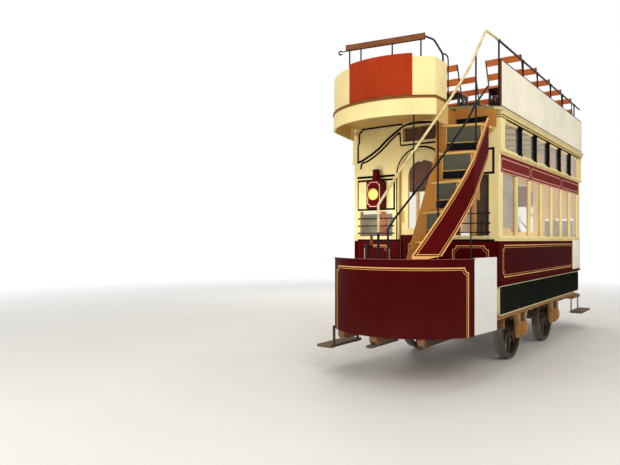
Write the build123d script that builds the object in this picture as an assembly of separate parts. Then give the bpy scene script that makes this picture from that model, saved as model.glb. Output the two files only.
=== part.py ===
from build123d import *
from math import asin, cos, degrees, hypot, radians, sin, sqrt
import os

# Double-deck tramcar with two winding stairs, an open top deck and an axle under each half.
# X runs along the car, Y across it and Z up, in millimetres. The origin is on the centre line,
# level with the tips of the wheel flanges. The front end is at -X and the left side at -Y.
# Each end piece is turned half round about Z to make the one at the other end.

os.makedirs("parts", exist_ok=True)

# Levels, counted from the top of the rail
rail = 18
platform_top = rail + 560
sole_bottom, sole_top = rail + 600, rail + 720
saloon_floor = rail + 760
waist_bottom = rail + 1000
sill, window_top = rail + 1555, rail + 2260
upper_sill, upper_top = rail + 2496, rail + 2840
deck_edge, deck_crown, deck_thick = rail + 2940, rail + 3030, 36
side_board_top = rail + 3465
side_rail = rail + 3675

# Saloon
body_length, body_width, wall = 4115, 1830, 45
half_l, half_w = body_length / 2, body_width / 2
window_span, window_count, upper_count = 3870, 7, 6
flare = 25
rocker_in, rocker_out = 850, 876

# Platform, in plan an arc that runs on into straight sides
bow_x, bow_r, bow_end = -2320, 880, 72.7
dash_thick = 16
dash_bottom, dash_top = rail + 520, rail + 1313
entrance_end = 46

# Running gear
wheelbase = 1650
tread_r, wheel_back = 400, 587
axle_z = rail + tread_r

# Stair
risers, rise = 7, 310
tread_thick, riser_thick, nosing = 25, 20, 24
landing_top = rail + 2940
landing_drop = 190
landing_panel_top = rail + 3323

# Seats of the top deck: single ones on the left, double ones on the right
seat_xs = [-880 + 678 * row for row in range(5)]
left_seat, right_seat = (-870, -460), (-60, 870)


def save(name, shape):
    solids = shape.solids()
    body = solids[0] if len(solids) == 1 else Compound(children=list(solids))
    export_step(body, f"parts/{name}.step")


def turned(shape):
    """The same piece at the other end of the car."""
    return Rot(0, 0, 180) * shape


def save_ends(name, shape):
    save("front_" + name, shape)
    save("rear_" + name, turned(shape))


def gather(shapes):
    """Pieces that share one node."""
    return Compound(children=[solid for shape in shapes for solid in shape.solids()])


def save_pair(name, shape):
    save(name, gather([shape, turned(shape)]))


def block(x0, x1, y0, y1, z0, z1):
    x0, x1 = sorted((x0, x1))
    y0, y1 = sorted((y0, y1))
    return Pos((x0 + x1) / 2, (y0 + y1) / 2, (z0 + z1) / 2) * Box(x1 - x0, y1 - y0, z1 - z0)


def prism(points, z0, z1):
    """An upright solid on a plan outline."""
    return extrude(Pos(0, 0, z0) * make_face(Polyline(*points, close=True)), amount=z1 - z0, dir=(0, 0, 1))


def cross_slab(face, x0, thick):
    """A face drawn in Y and Z, made solid from x0 on along X."""
    return extrude(Plane(origin=(x0, 0, 0), x_dir=(0, 1, 0), z_dir=(1, 0, 0)) * face, amount=thick)


def long_slab(face, y0, y1):
    """A face drawn in X and Z, made solid between two places across the car."""
    y0, y1 = sorted((y0, y1))
    return extrude(Plane(origin=(0, y1, 0), x_dir=(1, 0, 0), z_dir=(0, -1, 0)) * face, amount=y1 - y0)


def bar(a, b, radius):
    """A straight round bar from a to b."""
    a, b = Vector(*a), Vector(*b)
    return extrude(Plane(origin=a, z_dir=b - a) * Circle(radius), amount=(b - a).length)


def rail_run(points, radius, bend):
    """A round bar bent through the given points."""
    path = FilletPolyline(*points, radius=bend)
    return sweep(Plane(origin=path @ 0, z_dir=path % 0) * Circle(radius), path=path)


def knob(x, y, z, radius=21):
    return Pos(x, y, z) * Sphere(radius)


def bow_point(angle, radius=bow_r):
    """A point of the bow at an angle from the centre line, positive towards +Y."""
    return (bow_x - radius * cos(radians(angle)), radius * sin(radians(angle)))


def bow_band(a0, a1, outer, inner, z0, z1):
    """A curved upright strip of the bow between two angles."""
    mid = (a0 + a1) / 2
    plan = make_face([
        ThreePointArc(bow_point(a0, outer), bow_point(mid, outer), bow_point(a1, outer)),
        Line(bow_point(a1, outer), bow_point(a1, inner)),
        ThreePointArc(bow_point(a1, inner), bow_point(mid, inner), bow_point(a0, inner)),
        Line(bow_point(a0, inner), bow_point(a0, outer)),
    ])
    return extrude(Pos(0, 0, z0) * plan, amount=z1 - z0, dir=(0, 0, 1))


# The line that dash, side sheet, stringer and handrails follow, by its length from the centre line
side_start, side_end = bow_point(-bow_end), (-half_l - 6, -900)
side_dx, side_dy = side_end[0] - side_start[0], side_end[1] - side_start[1]
bow_run, side_run = bow_r * radians(bow_end), hypot(side_dx, side_dy)


def along(u, inset=0):
    """The point u along the platform's edge, and inset from it."""
    if u <= bow_run:
        return bow_point(-degrees(u / bow_r), bow_r - inset)
    t = (u - bow_run) / side_run
    return (side_start[0] + side_dx * t - side_dy / side_run * inset,
            side_start[1] + side_dy * t + side_dx / side_run * inset)


def edge_at(u, z, inset=8):
    x, y = along(u, inset)
    return (x, y, z)


# Top deck, cambered, on bent roof sticks
camber_y = half_w + 50
camber_r = (camber_y ** 2 + (deck_crown - deck_edge) ** 2) / (2 * (deck_crown - deck_edge))
deck_end = half_l + 62
stick_width, stick_deep = 34, 30


def deck_level(y):
    return deck_crown - camber_r + sqrt(camber_r ** 2 - y ** 2)


def deck_slab(thick, x0, x1, width=camber_y):
    top, foot = deck_level(width), deck_level(width) - thick
    section = make_face([
        ThreePointArc((-width, top), (0, deck_crown), (width, top)),
        Line((width, top), (width, foot)),
        ThreePointArc((width, foot), (0, deck_crown - thick), (-width, foot)),
        Line((-width, foot), (-width, top)),
    ])
    return cross_slab(section, x0, x1 - x0)


bay, upper_bay = window_span / window_count, window_span / upper_count
deck = deck_slab(deck_thick, -deck_end, deck_end)
deck_cutter = Pos(0, 0, 300 - deck_thick) * deck_slab(300, -deck_end - 400, deck_end + 400, 1000)
roofed_deck = deck
for i in range(1, window_count):
    x = (i - window_count / 2) * bay
    stick = deck_slab(stick_deep + 10, x - stick_width / 2, x + stick_width / 2, half_w - wall - 1)
    roofed_deck += Pos(0, 0, 10 - deck_thick) * stick
save("top_deck", roofed_deck)

# Underframe: two sole bars and the cross members that join them
sole_inner, sole_outer = 745, 835
underframe = block(-half_l, half_l, -sole_outer, -sole_inner, sole_bottom, sole_top)
underframe += block(-half_l, half_l, sole_inner, sole_outer, sole_bottom, sole_top)
for x in (-2010, -1330, -330, 330, 1330, 2010):
    underframe += block(x - 45, x + 45, -sole_inner, sole_inner, sole_bottom, sole_top)
save("underframe", underframe)

# Saloon floor, open above each wheel, where the seat covers it
floor = block(-half_l, half_l, -rocker_in + 2, rocker_in - 2, sole_top, saloon_floor)
for x in (-wheelbase / 2, wheelbase / 2):
    for y in (-640, 640):
        floor -= Pos(x, y, sole_top) * Box(930, 160, 200)
save("saloon_floor", floor)

# Side walls: rocker, waist, window range and the flared range of upper lights, with their mouldings.
# A moulding is given by its low and high edge and how far it stands out.
waist_moulding, sill_moulding = (waist_bottom + 4, waist_bottom + 38, 15), (sill - 42, sill - 3, 13)
flare_foot, flare_rail, rail_proud = rail + 2452, (rail + 2472, rail + 2486), 13
cornice = [(rail + 2850, 8), (rail + 2868, 15), (rail + 2886, 22)]
wall_head = rail + 2990


def moulded(y, low, high, proud, edge=9):
    return [(y, low), (y - proud, low + edge), (y - proud, high - edge), (y, high)]


def wall_section():
    face, upper = -half_w, -half_w - flare
    outline = [(face, waist_bottom), *moulded(face, *waist_moulding), *moulded(face, *sill_moulding),
               (face, flare_foot), (upper - rail_proud, flare_rail[0]), (upper - rail_proud, flare_rail[1]),
               (upper, upper_sill)]
    out = 0
    for z, proud in cornice:
        outline += [(upper - out, z), (upper - proud, z)]
        out = proud
    outline += [(upper - out, wall_head), (face + wall, wall_head), (face + wall, waist_bottom),
                (-rocker_in, sole_top), (-rocker_out, sole_top), (-884, rail + 850), (-888, rail + 930),
                (-888, waist_bottom)]
    return cross_slab(make_face(Polyline(*outline, close=True)), -half_l, body_length)


def window_hole(x, width, z0, z1, corner):
    """A window right through the left wall, with round corners."""
    hole = extrude(RectangleRounded(width, z1 - z0, corner), amount=150, both=True)
    return Pos(x, -half_w, (z0 + z1) / 2) * (Rot(90, 0, 0) * hole)


post, upper_post = 46, 40
window_corner, upper_corner = 14, 60
window_xs = [(i - (window_count - 1) / 2) * bay for i in range(window_count)]
upper_xs = [(i - (upper_count - 1) / 2) * upper_bay for i in range(upper_count)]
side_wall = wall_section() - deck_cutter
for x in window_xs:
    side_wall -= window_hole(x, bay - post, sill, window_top, window_corner)
for x in upper_xs:
    side_wall -= window_hole(x, upper_bay - upper_post, upper_sill, upper_top, upper_corner)
save("left_side_wall", side_wall)
save("right_side_wall", turned(side_wall))

# Glass of the fourteen side windows, and the frames and glass of the upper lights
pane_gap = 0.5
frame_bar = 22


def upright(face, x, y, z, thick):
    """A face that stands in the plane of the side wall."""
    return Pos(x, y, z) * (Rot(90, 0, 0) * extrude(face, amount=thick / 2, both=True))


pane = RectangleRounded(bay - post - 2 * pane_gap, window_top - sill - 2 * pane_gap, window_corner)
pane_z = (sill + window_top) / 2
save_pair("side_window_glass", gather(upright(pane, x, -half_w + 24, pane_z, 6) for x in window_xs))

light_w, light_h = upper_bay - upper_post - 2 * pane_gap, upper_top - upper_sill - 2 * pane_gap
light_z, light_y = (upper_sill + upper_top) / 2, -half_w + 4
opening_w, opening_h, opening_corner = light_w - 2 * frame_bar, light_h - 2 * frame_bar, 44
light_frame = RectangleRounded(light_w, light_h, upper_corner)
light_frame -= RectangleRounded(opening_w, opening_h, opening_corner)
save_pair("upper_light_frames", gather(upright(light_frame, x, light_y, light_z, 26) for x in upper_xs))
light_pane = RectangleRounded(opening_w - 1, opening_h - 1, opening_corner)
save_pair("upper_light_glass", gather(upright(light_pane, x, light_y, light_z, 5) for x in upper_xs))

# Bulkhead: middle doorway with a round head, a window on each side and a fanlight.
# An end window is given by its sides across the car and its bottom and top.
door_half, door_spring = 290, rail + 2290
bulk_in = -half_l + wall
small_window = (370, 830, rail + 1550, rail + 1860)
tall_window = (-810, -340, rail + 1550, rail + 2235)
fanlight = (-205, 235, rail + 2680, rail + 2850)
end_windows = (small_window, tall_window, fanlight)
sash, sash_proud, architrave, architrave_proud = 20, 8, 26, 10


def arch(half, foot, spring):
    """Outline of a doorway or light with a round head."""
    return make_face([
        Line((-half, foot), (half, foot)), Line((half, foot), (half, spring)),
        ThreePointArc((half, spring), (0, spring + half), (-half, spring)),
        Line((-half, spring), (-half, foot)),
    ])


rocker_slope = (half_w - wall - rocker_in) / (waist_bottom - sole_top)
bulk_foot = rocker_in + rocker_slope * (saloon_floor - sole_top)
bulk_half = half_w - wall
bulk_outline = [(-bulk_foot, saloon_floor), (-bulk_half, waist_bottom), (-bulk_half, rail + 3050),
                (bulk_half, rail + 3050), (bulk_half, waist_bottom), (bulk_foot, saloon_floor)]
bulkhead = cross_slab(make_face(Polyline(*bulk_outline, close=True)), -half_l, wall) - deck_cutter
door_surround = arch(door_half + architrave, saloon_floor, door_spring)
bulkhead += cross_slab(door_surround, -half_l - architrave_proud, 20)
bulkhead -= cross_slab(arch(door_half, saloon_floor - 5, door_spring), -half_l - 50, 200)
for y0, y1, z0, z1 in end_windows:
    bulkhead += block(-half_l - sash_proud, -half_l + 5, y0 - sash, y1 + sash, z0 - sash, z1 + sash)
    bulkhead -= block(-half_l - 50, bulk_in + 30, y0, y1, z0, z1)
track_z = rail + 2634
bulkhead += block(bulk_in - 5, bulk_in + 20, -260, 760, track_z - 8, track_z)
save_ends("bulkhead", bulkhead)

save_pair("bulkhead_glass", gather(
    block(bulk_in - 25, bulk_in - 19, y0 + pane_gap, y1 - pane_gap, z0 + pane_gap, z1 - pane_gap)
    for y0, y1, z0, z1 in end_windows))

# Sliding door behind the bulkhead, hung by two rollers from the track above it
door_gap, door_thick, door_w = 6, 32, 610
door_x0 = bulk_in + door_gap
door_x1 = door_x0 + door_thick
door_top = rail + 2612
light_half, light_foot, light_spring = 190, rail + 1646, rail + 2265
panel_half, panel_low, panel_high, groove, groove_deep = 215, rail + 900, rail + 1520, 24, 5
roller_r, roller_y = 18, 200
door = block(door_x0, door_x1, -door_w / 2, door_w / 2, saloon_floor + door_gap, door_top)
door -= cross_slab(arch(light_half, light_foot, light_spring), door_x0 - 5, door_thick + 10)
for x in (door_x0, door_x1):
    door -= (block(x - groove_deep, x + groove_deep, -panel_half, panel_half, panel_low, panel_high)
             - block(x - groove_deep, x + groove_deep, -panel_half + groove, panel_half - groove,
                     panel_low + groove, panel_high - groove))
door -= block(door_x0 - 1, door_x0 + 7, 250, 268, rail + 1723, rail + 1856)
for y in (-roller_y, roller_y):
    roller_z = track_z + roller_r + 0.3
    door += block(door_x1, door_x1 + 6, y - 22, y + 22, door_top - 70, roller_z + 18)
    door += bar((bulk_in + 6, y, roller_z), (bulk_in + 16, y, roller_z), roller_r)
    door += bar((bulk_in + 10, y, roller_z), (door_x1 + 3, y, roller_z), 6)
save_ends("door", door)
door_mid = (door_x0 + door_x1) / 2
save_ends("door_glass", cross_slab(arch(light_half, light_foot, light_spring), door_mid - 3, 6))

# Benches along both sides of the saloon, with a dished seat and a boarded back
bench_front, bench_end, bench_top = 430, 1950, rail + 1205
seat_back_y = half_w - wall - 1
seat_mid = (seat_back_y + bench_front - 15) / 2
seat_lip, dish, bench_thick = bench_front - 15, 12, 26
bench_low = bench_top - bench_thick
seat_section = make_face([
    ThreePointArc((-seat_back_y, bench_top), (-seat_mid, bench_top - dish), (-seat_lip, bench_top)),
    Line((-seat_lip, bench_top), (-seat_lip, bench_low)),
    ThreePointArc((-seat_lip, bench_low), (-seat_mid, bench_low - dish), (-seat_back_y, bench_low)),
    Line((-seat_back_y, bench_low), (-seat_back_y, bench_top)),
])
bench = cross_slab(seat_section, -bench_end, 2 * bench_end)
bench += block(-bench_end, bench_end, -bench_front - 20, -bench_front, saloon_floor, bench_low + 4)
bench += block(-bench_end, bench_end, -seat_back_y, -seat_back_y + 19, bench_top - 10, rail + 1500)
bench += block(-bench_end, bench_end, -seat_back_y, -seat_back_y + 32, rail + 1470, rail + 1500)
save_pair("saloon_benches", bench)

# Platforms: floor on three bearers that run back under the cross members
floor_r, platform_side = bow_r - dash_thick, 815
bearer_low, bearer_top, bearer_half = rail + 435, rail + 519, 40


def platform_plan(radius, side):
    """Outline of a platform floor, round at the end and straight along the sides."""
    angle = degrees(asin(side / radius))
    a0, a1 = bow_point(-angle, radius), bow_point(angle, radius)
    return make_face([
        ThreePointArc(a0, bow_point(0, radius), a1), Line(a1, (-half_l, side)),
        Line((-half_l, side), (-half_l, -side)), Line((-half_l, -side), a0),
    ])


platform = extrude(Pos(0, 0, bearer_top) * platform_plan(floor_r, platform_side),
                   amount=platform_top - bearer_top, dir=(0, 0, 1))
bearer_nose, bearer_end = 34, -1285
for y in (-470, 0, 470):
    tip = bow_x - sqrt(bow_r ** 2 - y ** 2) + 10
    side_view = Polyline((tip, bearer_top), (tip, bearer_low + bearer_nose), (tip + bearer_nose, bearer_low),
                         (bearer_end, bearer_low), (bearer_end, bearer_top), close=True)
    platform += long_slab(make_face(side_view), y - bearer_half, y + bearer_half)
platform += block(bearer_end - 90, bearer_end, -740, 740, bearer_low, sole_bottom)
save_ends("platform", platform)

# Dash with its capping, the flat side sheet and the boarding step
dash = bow_band(-bow_end, entrance_end, bow_r, bow_r - dash_thick, dash_bottom, dash_top)
dash += bow_band(-bow_end, entrance_end, bow_r + 7, bow_r - dash_thick - 7, dash_top - 14, dash_top)
save_ends("dash", dash)
sheet_outer, sheet_inner = 0, 14
sheet_ends = (bow_run + 4, bow_run + side_run - 4)
sheet_plan = [along(sheet_ends[0], sheet_outer), along(sheet_ends[1], sheet_outer),
              along(sheet_ends[1], sheet_inner), along(sheet_ends[0], sheet_inner)]
side_sheet = prism(sheet_plan, rail + 530, rail + 1320)
save_pair("side_sheets", side_sheet)
step = block(-2860, -2180, 740, 930, rail + 270, rail + 300)
for x in (-2780, -2260):
    step += block(x - 20, x + 20, 740, 752, rail + 300, bearer_top)
    step += block(x - 20, x + 20, 752, 900, rail + 262, rail + 270)
save_pair("boarding_steps", step)

# Boards hung along the lower sides, with round ends
board_low_z, board_high_z = rail + 672, rail + 998
board_length = body_length - 80
rocker_board = upright(RectangleRounded(board_length, board_high_z - board_low_z, 70), -20, -899,
                       (board_low_z + board_high_z) / 2, 22)
save_pair("rocker_boards", rocker_board)

# Landing: floor, deep rim and the sheet round it, cut back where the stair comes up
return_y, return_end, head_y = 590, -2660, 432
rim_start, rim_thick, side_y = 62, 22, 905
cheek_low, bead = rail + 2690, 9


def landing_plan(inset):
    r, y_edge = bow_r - inset, return_y - inset
    corner = (bow_x - sqrt(r ** 2 - y_edge ** 2), -y_edge)
    turn, head = (return_end - inset, -y_edge), (return_end - inset, -head_y + inset)
    head_end, far_side = (-deck_end, -head_y + inset), (-deck_end, side_y - inset)
    start = bow_point(rim_start, r)
    return make_face([
        ThreePointArc(corner, bow_point(10, r), start), Line(start, far_side), Line(far_side, head_end),
        Line(head_end, head), Line(head, turn), Line(turn, corner),
    ])


def landing_prism(inset, z0, z1):
    return extrude(Pos(0, 0, z0) * landing_plan(inset), amount=z1 - z0, dir=(0, 0, 1))


rim_low, floor_low = landing_top - landing_drop, landing_top - 45
landing = landing_prism(0, rim_low, landing_top)
landing -= landing_prism(rim_thick, rim_low - 5, floor_low)
bead_zone = block(-4000, -2230, -return_y - bead, 2000, 0, 4000)
landing += landing_prism(-bead, landing_top - 2 * bead, landing_top) & bead_zone
cheek_start = bow_x - 610
landing += block(cheek_start, return_end, -return_y, -return_y + rim_thick, cheek_low, rim_low + 5)
landing = landing - side_wall - turned(side_wall) - bulkhead
save_ends("landing", landing)

panel_out, panel_in, stair_cut = 6, 18, return_end - 20
sheet = landing_prism(panel_out, landing_top, landing_panel_top)
sheet -= landing_prism(panel_in, landing_top - 5, landing_panel_top + 5)
sheet -= block(stair_cut, 0, -2000, 700, landing_top - 10, landing_panel_top + 10)
save_pair("landing_sheets", sheet)

# Stair. Each tread, its nosing and its riser run from the inner string to the outer stringer.
# The inner ends lie on the wall of the inner string, and the outer ends on the platform's edge.
first_u, step_u = 80, 215
inner_ends = [(-2560, -20), (-2585, -120), (-2610, -220), (-2635, -320), (-2660, -420), (-2600, -456),
              (-2500, -456)]
stringer_thick = 18
well_r = bow_r - stringer_thick
well_side = along(bow_run + side_run, stringer_thick)
well_plan = make_face([
    ThreePointArc(bow_point(20, well_r), bow_point(-25, well_r), bow_point(-bow_end, well_r)),
    Line(bow_point(-bow_end, well_r), well_side), Line(well_side, (-half_l, 200)),
    Line((-half_l, 200), bow_point(20, well_r)),
])
well = extrude(Pos(0, 0, platform_top) * well_plan, amount=2600, dir=(0, 0, 1))
outer_ends = [along(first_u + step_u * k, -60) for k in range(risers)]
head_edge = [(-deck_end + 18, -456), (-deck_end + 18, -960)]


def step_pieces(a, b, c, d, z, foot):
    """Tread a-b-c-d with its riser and round nosing under the edge a-b."""
    length = hypot(b[0] - a[0], b[1] - a[1])
    nx, ny = -(b[1] - a[1]) / length, (b[0] - a[0]) / length

    def strip(out):
        return [a, b, (b[0] + nx * out, b[1] + ny * out), (a[0] + nx * out, a[1] + ny * out)]

    low, mid_z = z - tread_thick, z - tread_thick / 2
    lip = strip(-nosing + tread_thick / 2)
    nose = bar((*lip[3], mid_z), (*lip[2], mid_z), tread_thick / 2)
    return prism([a, b, c, d], low, z) + prism(lip, low, z) + nose + prism(strip(riser_thick), foot, z)


stairs = None
for k in range(risers):
    z = platform_top + rise * (k + 1)
    if k + 1 < risers:
        c, d = outer_ends[k + 1], inner_ends[k + 1]
    else:
        c, d = head_edge[1], head_edge[0]
    one = step_pieces(inner_ends[k], outer_ends[k], c, d, z, z - rise - 1)
    stairs = one if stairs is None else stairs + one
top_riser = block(-deck_end, -deck_end + 18, -456, -905, platform_top + rise * risers - 5, deck_edge + 60)
stairs = (stairs & well) + (top_riser - deck_cutter)
stairs = stairs - deck_cutter - bulkhead - side_wall - landing - dash

# Inner string: a steep board beside the winding treads and a second one under the landing's edge
string_thick, string_over, string_under = 22, 255, 345
winders = 4
foot_end, turn_end = (-2556, -4), (-2662, -440)


def string_face(t):
    """Section of the steep board, t from its foot to the turn of the stair."""
    x = foot_end[0] + (turn_end[0] - foot_end[0]) * t
    y = foot_end[1] + (turn_end[1] - foot_end[1]) * t
    line = platform_top + rise * (1 + winders * t)
    low, high, x_in = max(platform_top, line - string_under), line + string_over, x + string_thick
    return make_face(Polyline((x, y, low), (x_in, y, low), (x_in, y, high), (x, y, high), close=True))


steep_string = loft([string_face(t) for t in (0, 0.28, 1)], ruled=True)
upper_outline = [(-2662, rail + 1790), (-2662, rail + 2055), (-2640, rail + 2380), (-2600, rail + 2690),
                 (-2600, landing_top - 2), (-deck_end, landing_top - 2), (-deck_end, rail + 2640),
                 (-2450, rail + 2620), (-2540, rail + 2330), (-2600, rail + 2020)]
upper_string = long_slab(make_face(Polyline(*upper_outline, close=True)), -456, -head_y)
string = steep_string + upper_string
save_ends("stair_string", string - bulkhead - landing - deck)
stairs = stairs - string

# Outer stringer, a deep sheet that climbs from the top of the dash along the platform's edge
stringer_low, stringer_high = (713, rail + 1346), (410, rail + 1346)
stringer_slope = 1.42
stations = [412, 560, 713, 860, 1000, 1115, 1240, 1340, 1440]


def stringer_face(u):
    top = max(stringer_low[1] + 4, stringer_high[1] + stringer_slope * (u - stringer_high[0]))
    low = max(dash_top + 2, stringer_low[1] + stringer_slope * (u - stringer_low[0]))
    (x0, y0), (x1, y1) = along(u, 2), along(u, stringer_thick)
    return make_face(Polyline((x0, y0, low), (x1, y1, low), (x1, y1, top), (x0, y0, top), close=True))


stringer = loft([stringer_face(u) for u in stations], ruled=True)
save_ends("stair_stringer", stringer)
save_ends("stairs", stairs - stringer)

# Handrails of the stair: the painted one and the iron one with its posts
top_rail_points = [edge_at(67, dash_top), edge_at(67, rail + 1860)]
top_rail_points += [edge_at(u, rail + 1930 + 1.39 * (u - 100)) for u in (300, 550, 800, 1050)]
rail_y = -912
top_rail_points += [edge_at(1390, rail + 3715), (-half_l - 100, rail_y, side_rail),
                    (-half_l - 12, rail_y, side_rail)]
top_rail = rail_run(top_rail_points, 13, 25)
save_pair("stair_top_rails", top_rail)

mid_rail_points = [edge_at(171, dash_top), edge_at(171, rail + 1610)]
mid_rail_points += [edge_at(u, rail + 1700 + 1.28 * (u - 225)) for u in (240, 500, 760, 1010, 1171)]
mid_rail_points += [edge_at(1430, rail + 3130)]
mid_rail = rail_run(mid_rail_points, 11, 25)
# Posts by place along the edge, foot, head, inset and radius
stair_posts = [(676, rail + 1735, cheek_low, 16, 9), (1171, rail + 2430, rail + 3405, 12, 9),
               (431, rail + 1950, landing_top - landing_drop, 12, 8), (1070, dash_top, rail + 1850, 9, 7)]
for u, foot, head, inset, radius in stair_posts:
    mid_rail += bar(edge_at(u, foot, inset), edge_at(u, head, inset), radius)
mid_rail += knob(*edge_at(676, rail + 2277), 19) + knob(*edge_at(431, rail + 1964), 17)
save_pair("stair_mid_rails", mid_rail - top_rail - stringer - landing)

# Rail above the landing: a timber board on iron stays, with a bent iron end
board_a, board_b = (-3075, 400), (-2930, -455)
board_low, board_high, board_thick = rail + 3540, rail + 3600, 22
dx, dy = board_b[0] - board_a[0], board_b[1] - board_a[1]
run = hypot(dx, dy)
ox, oy = -dy / run * board_thick, dx / run * board_thick
board_plan = [board_a, board_b, (board_b[0] + ox, board_b[1] + oy), (board_a[0] + ox, board_a[1] + oy)]
landing_rail = prism(board_plan, board_low, board_high)
for t in (0.05, 0.2, 0.6, 0.95):
    x, y = board_a[0] + dx * t + ox / 2, board_a[1] + dy * t + oy / 2
    landing_rail += bar((x, y, landing_top), (x, y, board_low + 5), 8)
    landing_rail += bar((x, y, landing_top), (x, y, landing_top + 6), 26)
end_x, end_y = return_end - 40, -return_y + 40
landing_rail += rail_run([(board_b[0] + 12, board_b[1] + 12, board_low + 30), (-2790, -490, board_low + 20),
                          (end_x, end_y, rail + 3420), (end_x, end_y, landing_top)], 10, 60)
save_pair("landing_rails", landing_rail)

# Guard bars across the end windows, by window and heights, each turned in at its ends
guards = [(small_window, (1590, 1680, 1770)), (tall_window, (1590, 1690, 1800))]
guard_x, guard_r, boss_r = -half_l - 22, 6, 9
guard_bars = []
for (y0, y1, z0, z1), heights in guards:
    for z in heights:
        ends = (y0 - sash / 2, y1 + sash / 2)
        one = bar((guard_x, ends[0], rail + z), (guard_x, ends[1], rail + z), guard_r)
        for y in ends:
            one += bar((guard_x - boss_r, y, rail + z), (-half_l - sash_proud, y, rail + z), boss_r)
        guard_bars.append(one)
save_pair("window_guard_bars", gather(guard_bars))

# Lamp box on the bulkhead, with its round lens and a chimney under a cap
lamp_y, lamp_z, lamp_face = 560, rail + 2060, -half_l - 140
lamp = block(lamp_face, -half_l, lamp_y - 100, lamp_y + 100, lamp_z - 170, lamp_z + 165)
lens_ring = Pos(lamp_face - 6, lamp_y, lamp_z) * (Rot(0, 90, 0) * (Cylinder(80, 14) - Cylinder(62, 40)))
lamp += lens_ring
lamp += Pos(lamp_face, lamp_y, lamp_z) * (Rot(0, 90, 0) * Cylinder(63, 8))
chimney_x = -half_l - 70
lamp += Pos(chimney_x, lamp_y, lamp_z + 165 + 22) * Cone(62, 44, 44)
lamp += Pos(chimney_x, lamp_y, lamp_z + 209 + 42) * Cylinder(44, 84)
lamp += Pos(chimney_x, lamp_y, lamp_z + 293 + 8) * Cone(58, 30, 16)
save_pair("lamp_boxes", lamp)

# Hand brake column on the platform, with its crank
staff_x, staff_y, crank_z = -3075, 130, rail + 1440
grip_x, grip_y = staff_x + 190, staff_y + 60
staff = Pos(staff_x, staff_y, platform_top + 12) * Cylinder(60, 24)
staff += Pos(staff_x, staff_y, platform_top + 64) * Cone(44, 26, 80)
staff += bar((staff_x, staff_y, platform_top + 20), (staff_x, staff_y, crank_z), 17)
staff += bar((staff_x, staff_y, crank_z - 34), (staff_x, staff_y, crank_z + 20), 27)
staff += bar((staff_x, staff_y, crank_z), (grip_x, grip_y, crank_z), 12)
staff += bar((grip_x, grip_y, crank_z - 15), (grip_x, grip_y, crank_z + 125), 15)
save_pair("brake_columns", staff)

# Draw plate under the middle bearer, with an upright hole for the drawbar pin
eye_r, eye_x, plate_thick = 13, -3240, 20
plate = block(eye_x, -2700, -40, 40, bearer_low - plate_thick, bearer_low)
plate += bar((eye_x, 0, bearer_low - plate_thick), (eye_x, 0, bearer_low), 40)
plate -= bar((eye_x, 0, bearer_low - 60), (eye_x, 0, bearer_low + 60), eye_r)
save_pair("draw_plates", plate)

# Rails and boards along the top deck
stanchion_xs = [-2040, -1140, -500, 180, 880, 1670]
left_rail = bar((-half_l - 10, rail_y, side_rail), (half_l + 20, rail_y, side_rail), 12)
deck_top = deck_level(rail_y)
for x in stanchion_xs:
    left_rail += bar((x, rail_y, deck_top - 8), (x, rail_y, side_rail), 10)
    left_rail += block(x - 26, x + 26, rail_y - 11, rail_y + 24, deck_top - 8, deck_top + 8)
    left_rail += knob(x, rail_y, side_rail, 18)
save_pair("deck_rails", left_rail - deck)

side_board = block(-half_l - 5, half_l + 5, -965 + 20, -965 + 41, deck_level(945) - 8, side_board_top) - deck
save("left_deck_board", side_board)
save("right_deck_board", turned(side_board))

# Seats of the top deck: cast ends with slats between them, and a back that swings over to either side
seat_height, pivot_height, back_height = 430, 150, 807
slat_w, slat_thick, slat_pitch = 64, 18, 78
slat_rises = [7, 2, 0, 2, 7]
lean, swing_arm, arm_half, arm_thick = 22, 150, 12, 10
pin_r, pin_fit, arm_out = 9, 0.05, 12
stop_r = 8
stop_angle = lean + degrees(asin((arm_half + stop_r + 0.5) / swing_arm))
foot_half, head_half, casting = 195, 190, 16


def seat_end(x, y, base):
    """One cast end, standing on the cambered deck."""
    foot = deck_level(y) - 5
    head = base + seat_height - slat_thick
    right = [(foot_half, foot), (foot_half, foot + 22), (head_half - 20, head - 30), (head_half, head)]
    outline = [(x + px, pz) for px, pz in right] + [(x - px, pz) for px, pz in reversed(right)]
    plate = make_face(Polyline(*outline, close=True))
    plate -= Pos(x, base + 40) * Circle(78)
    plate -= Pos(x, base) * Rectangle(156, 80)
    for side in (-1, 1):
        plate -= Pos(x + side * 72, base + 325) * Circle(38)
        plate -= Pos(x + side * 122, base + 150) * Circle(20)
    return long_slab(plate, y - casting / 2, y + casting / 2)


def seat(x, y0, y1):
    """Fixed frame of a seat between y0 and y1."""
    base = deck_level(min(abs(y0), abs(y1)) if y0 * y1 > 0 else 0)
    frame = seat_end(x, y0 + casting / 2, base) + seat_end(x, y1 - casting / 2, base)
    for i, lift in enumerate(slat_rises):
        top = base + seat_height - slat_thick + slat_thick * 0.5 + lift
        slat = Pos(x + (i - 2) * slat_pitch, top) * RectangleRounded(slat_w, slat_thick + 2 * lift + 1, 5)
        frame += long_slab(slat, y0, y1)
    for y, out in ((y0, -1), (y1, 1)):
        frame += bar((x, y, base + pivot_height), (x, y + out * (arm_out + 12), base + pivot_height), pin_r)
        for side in (-1, 1):
            stop_x = x + side * swing_arm * sin(radians(stop_angle))
            stop_z = base + pivot_height + swing_arm * cos(radians(stop_angle))
            frame += bar((stop_x, y - out * 4, stop_z), (stop_x, y + out * (arm_out + 8), stop_z), stop_r)
    return frame, base + pivot_height


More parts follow.
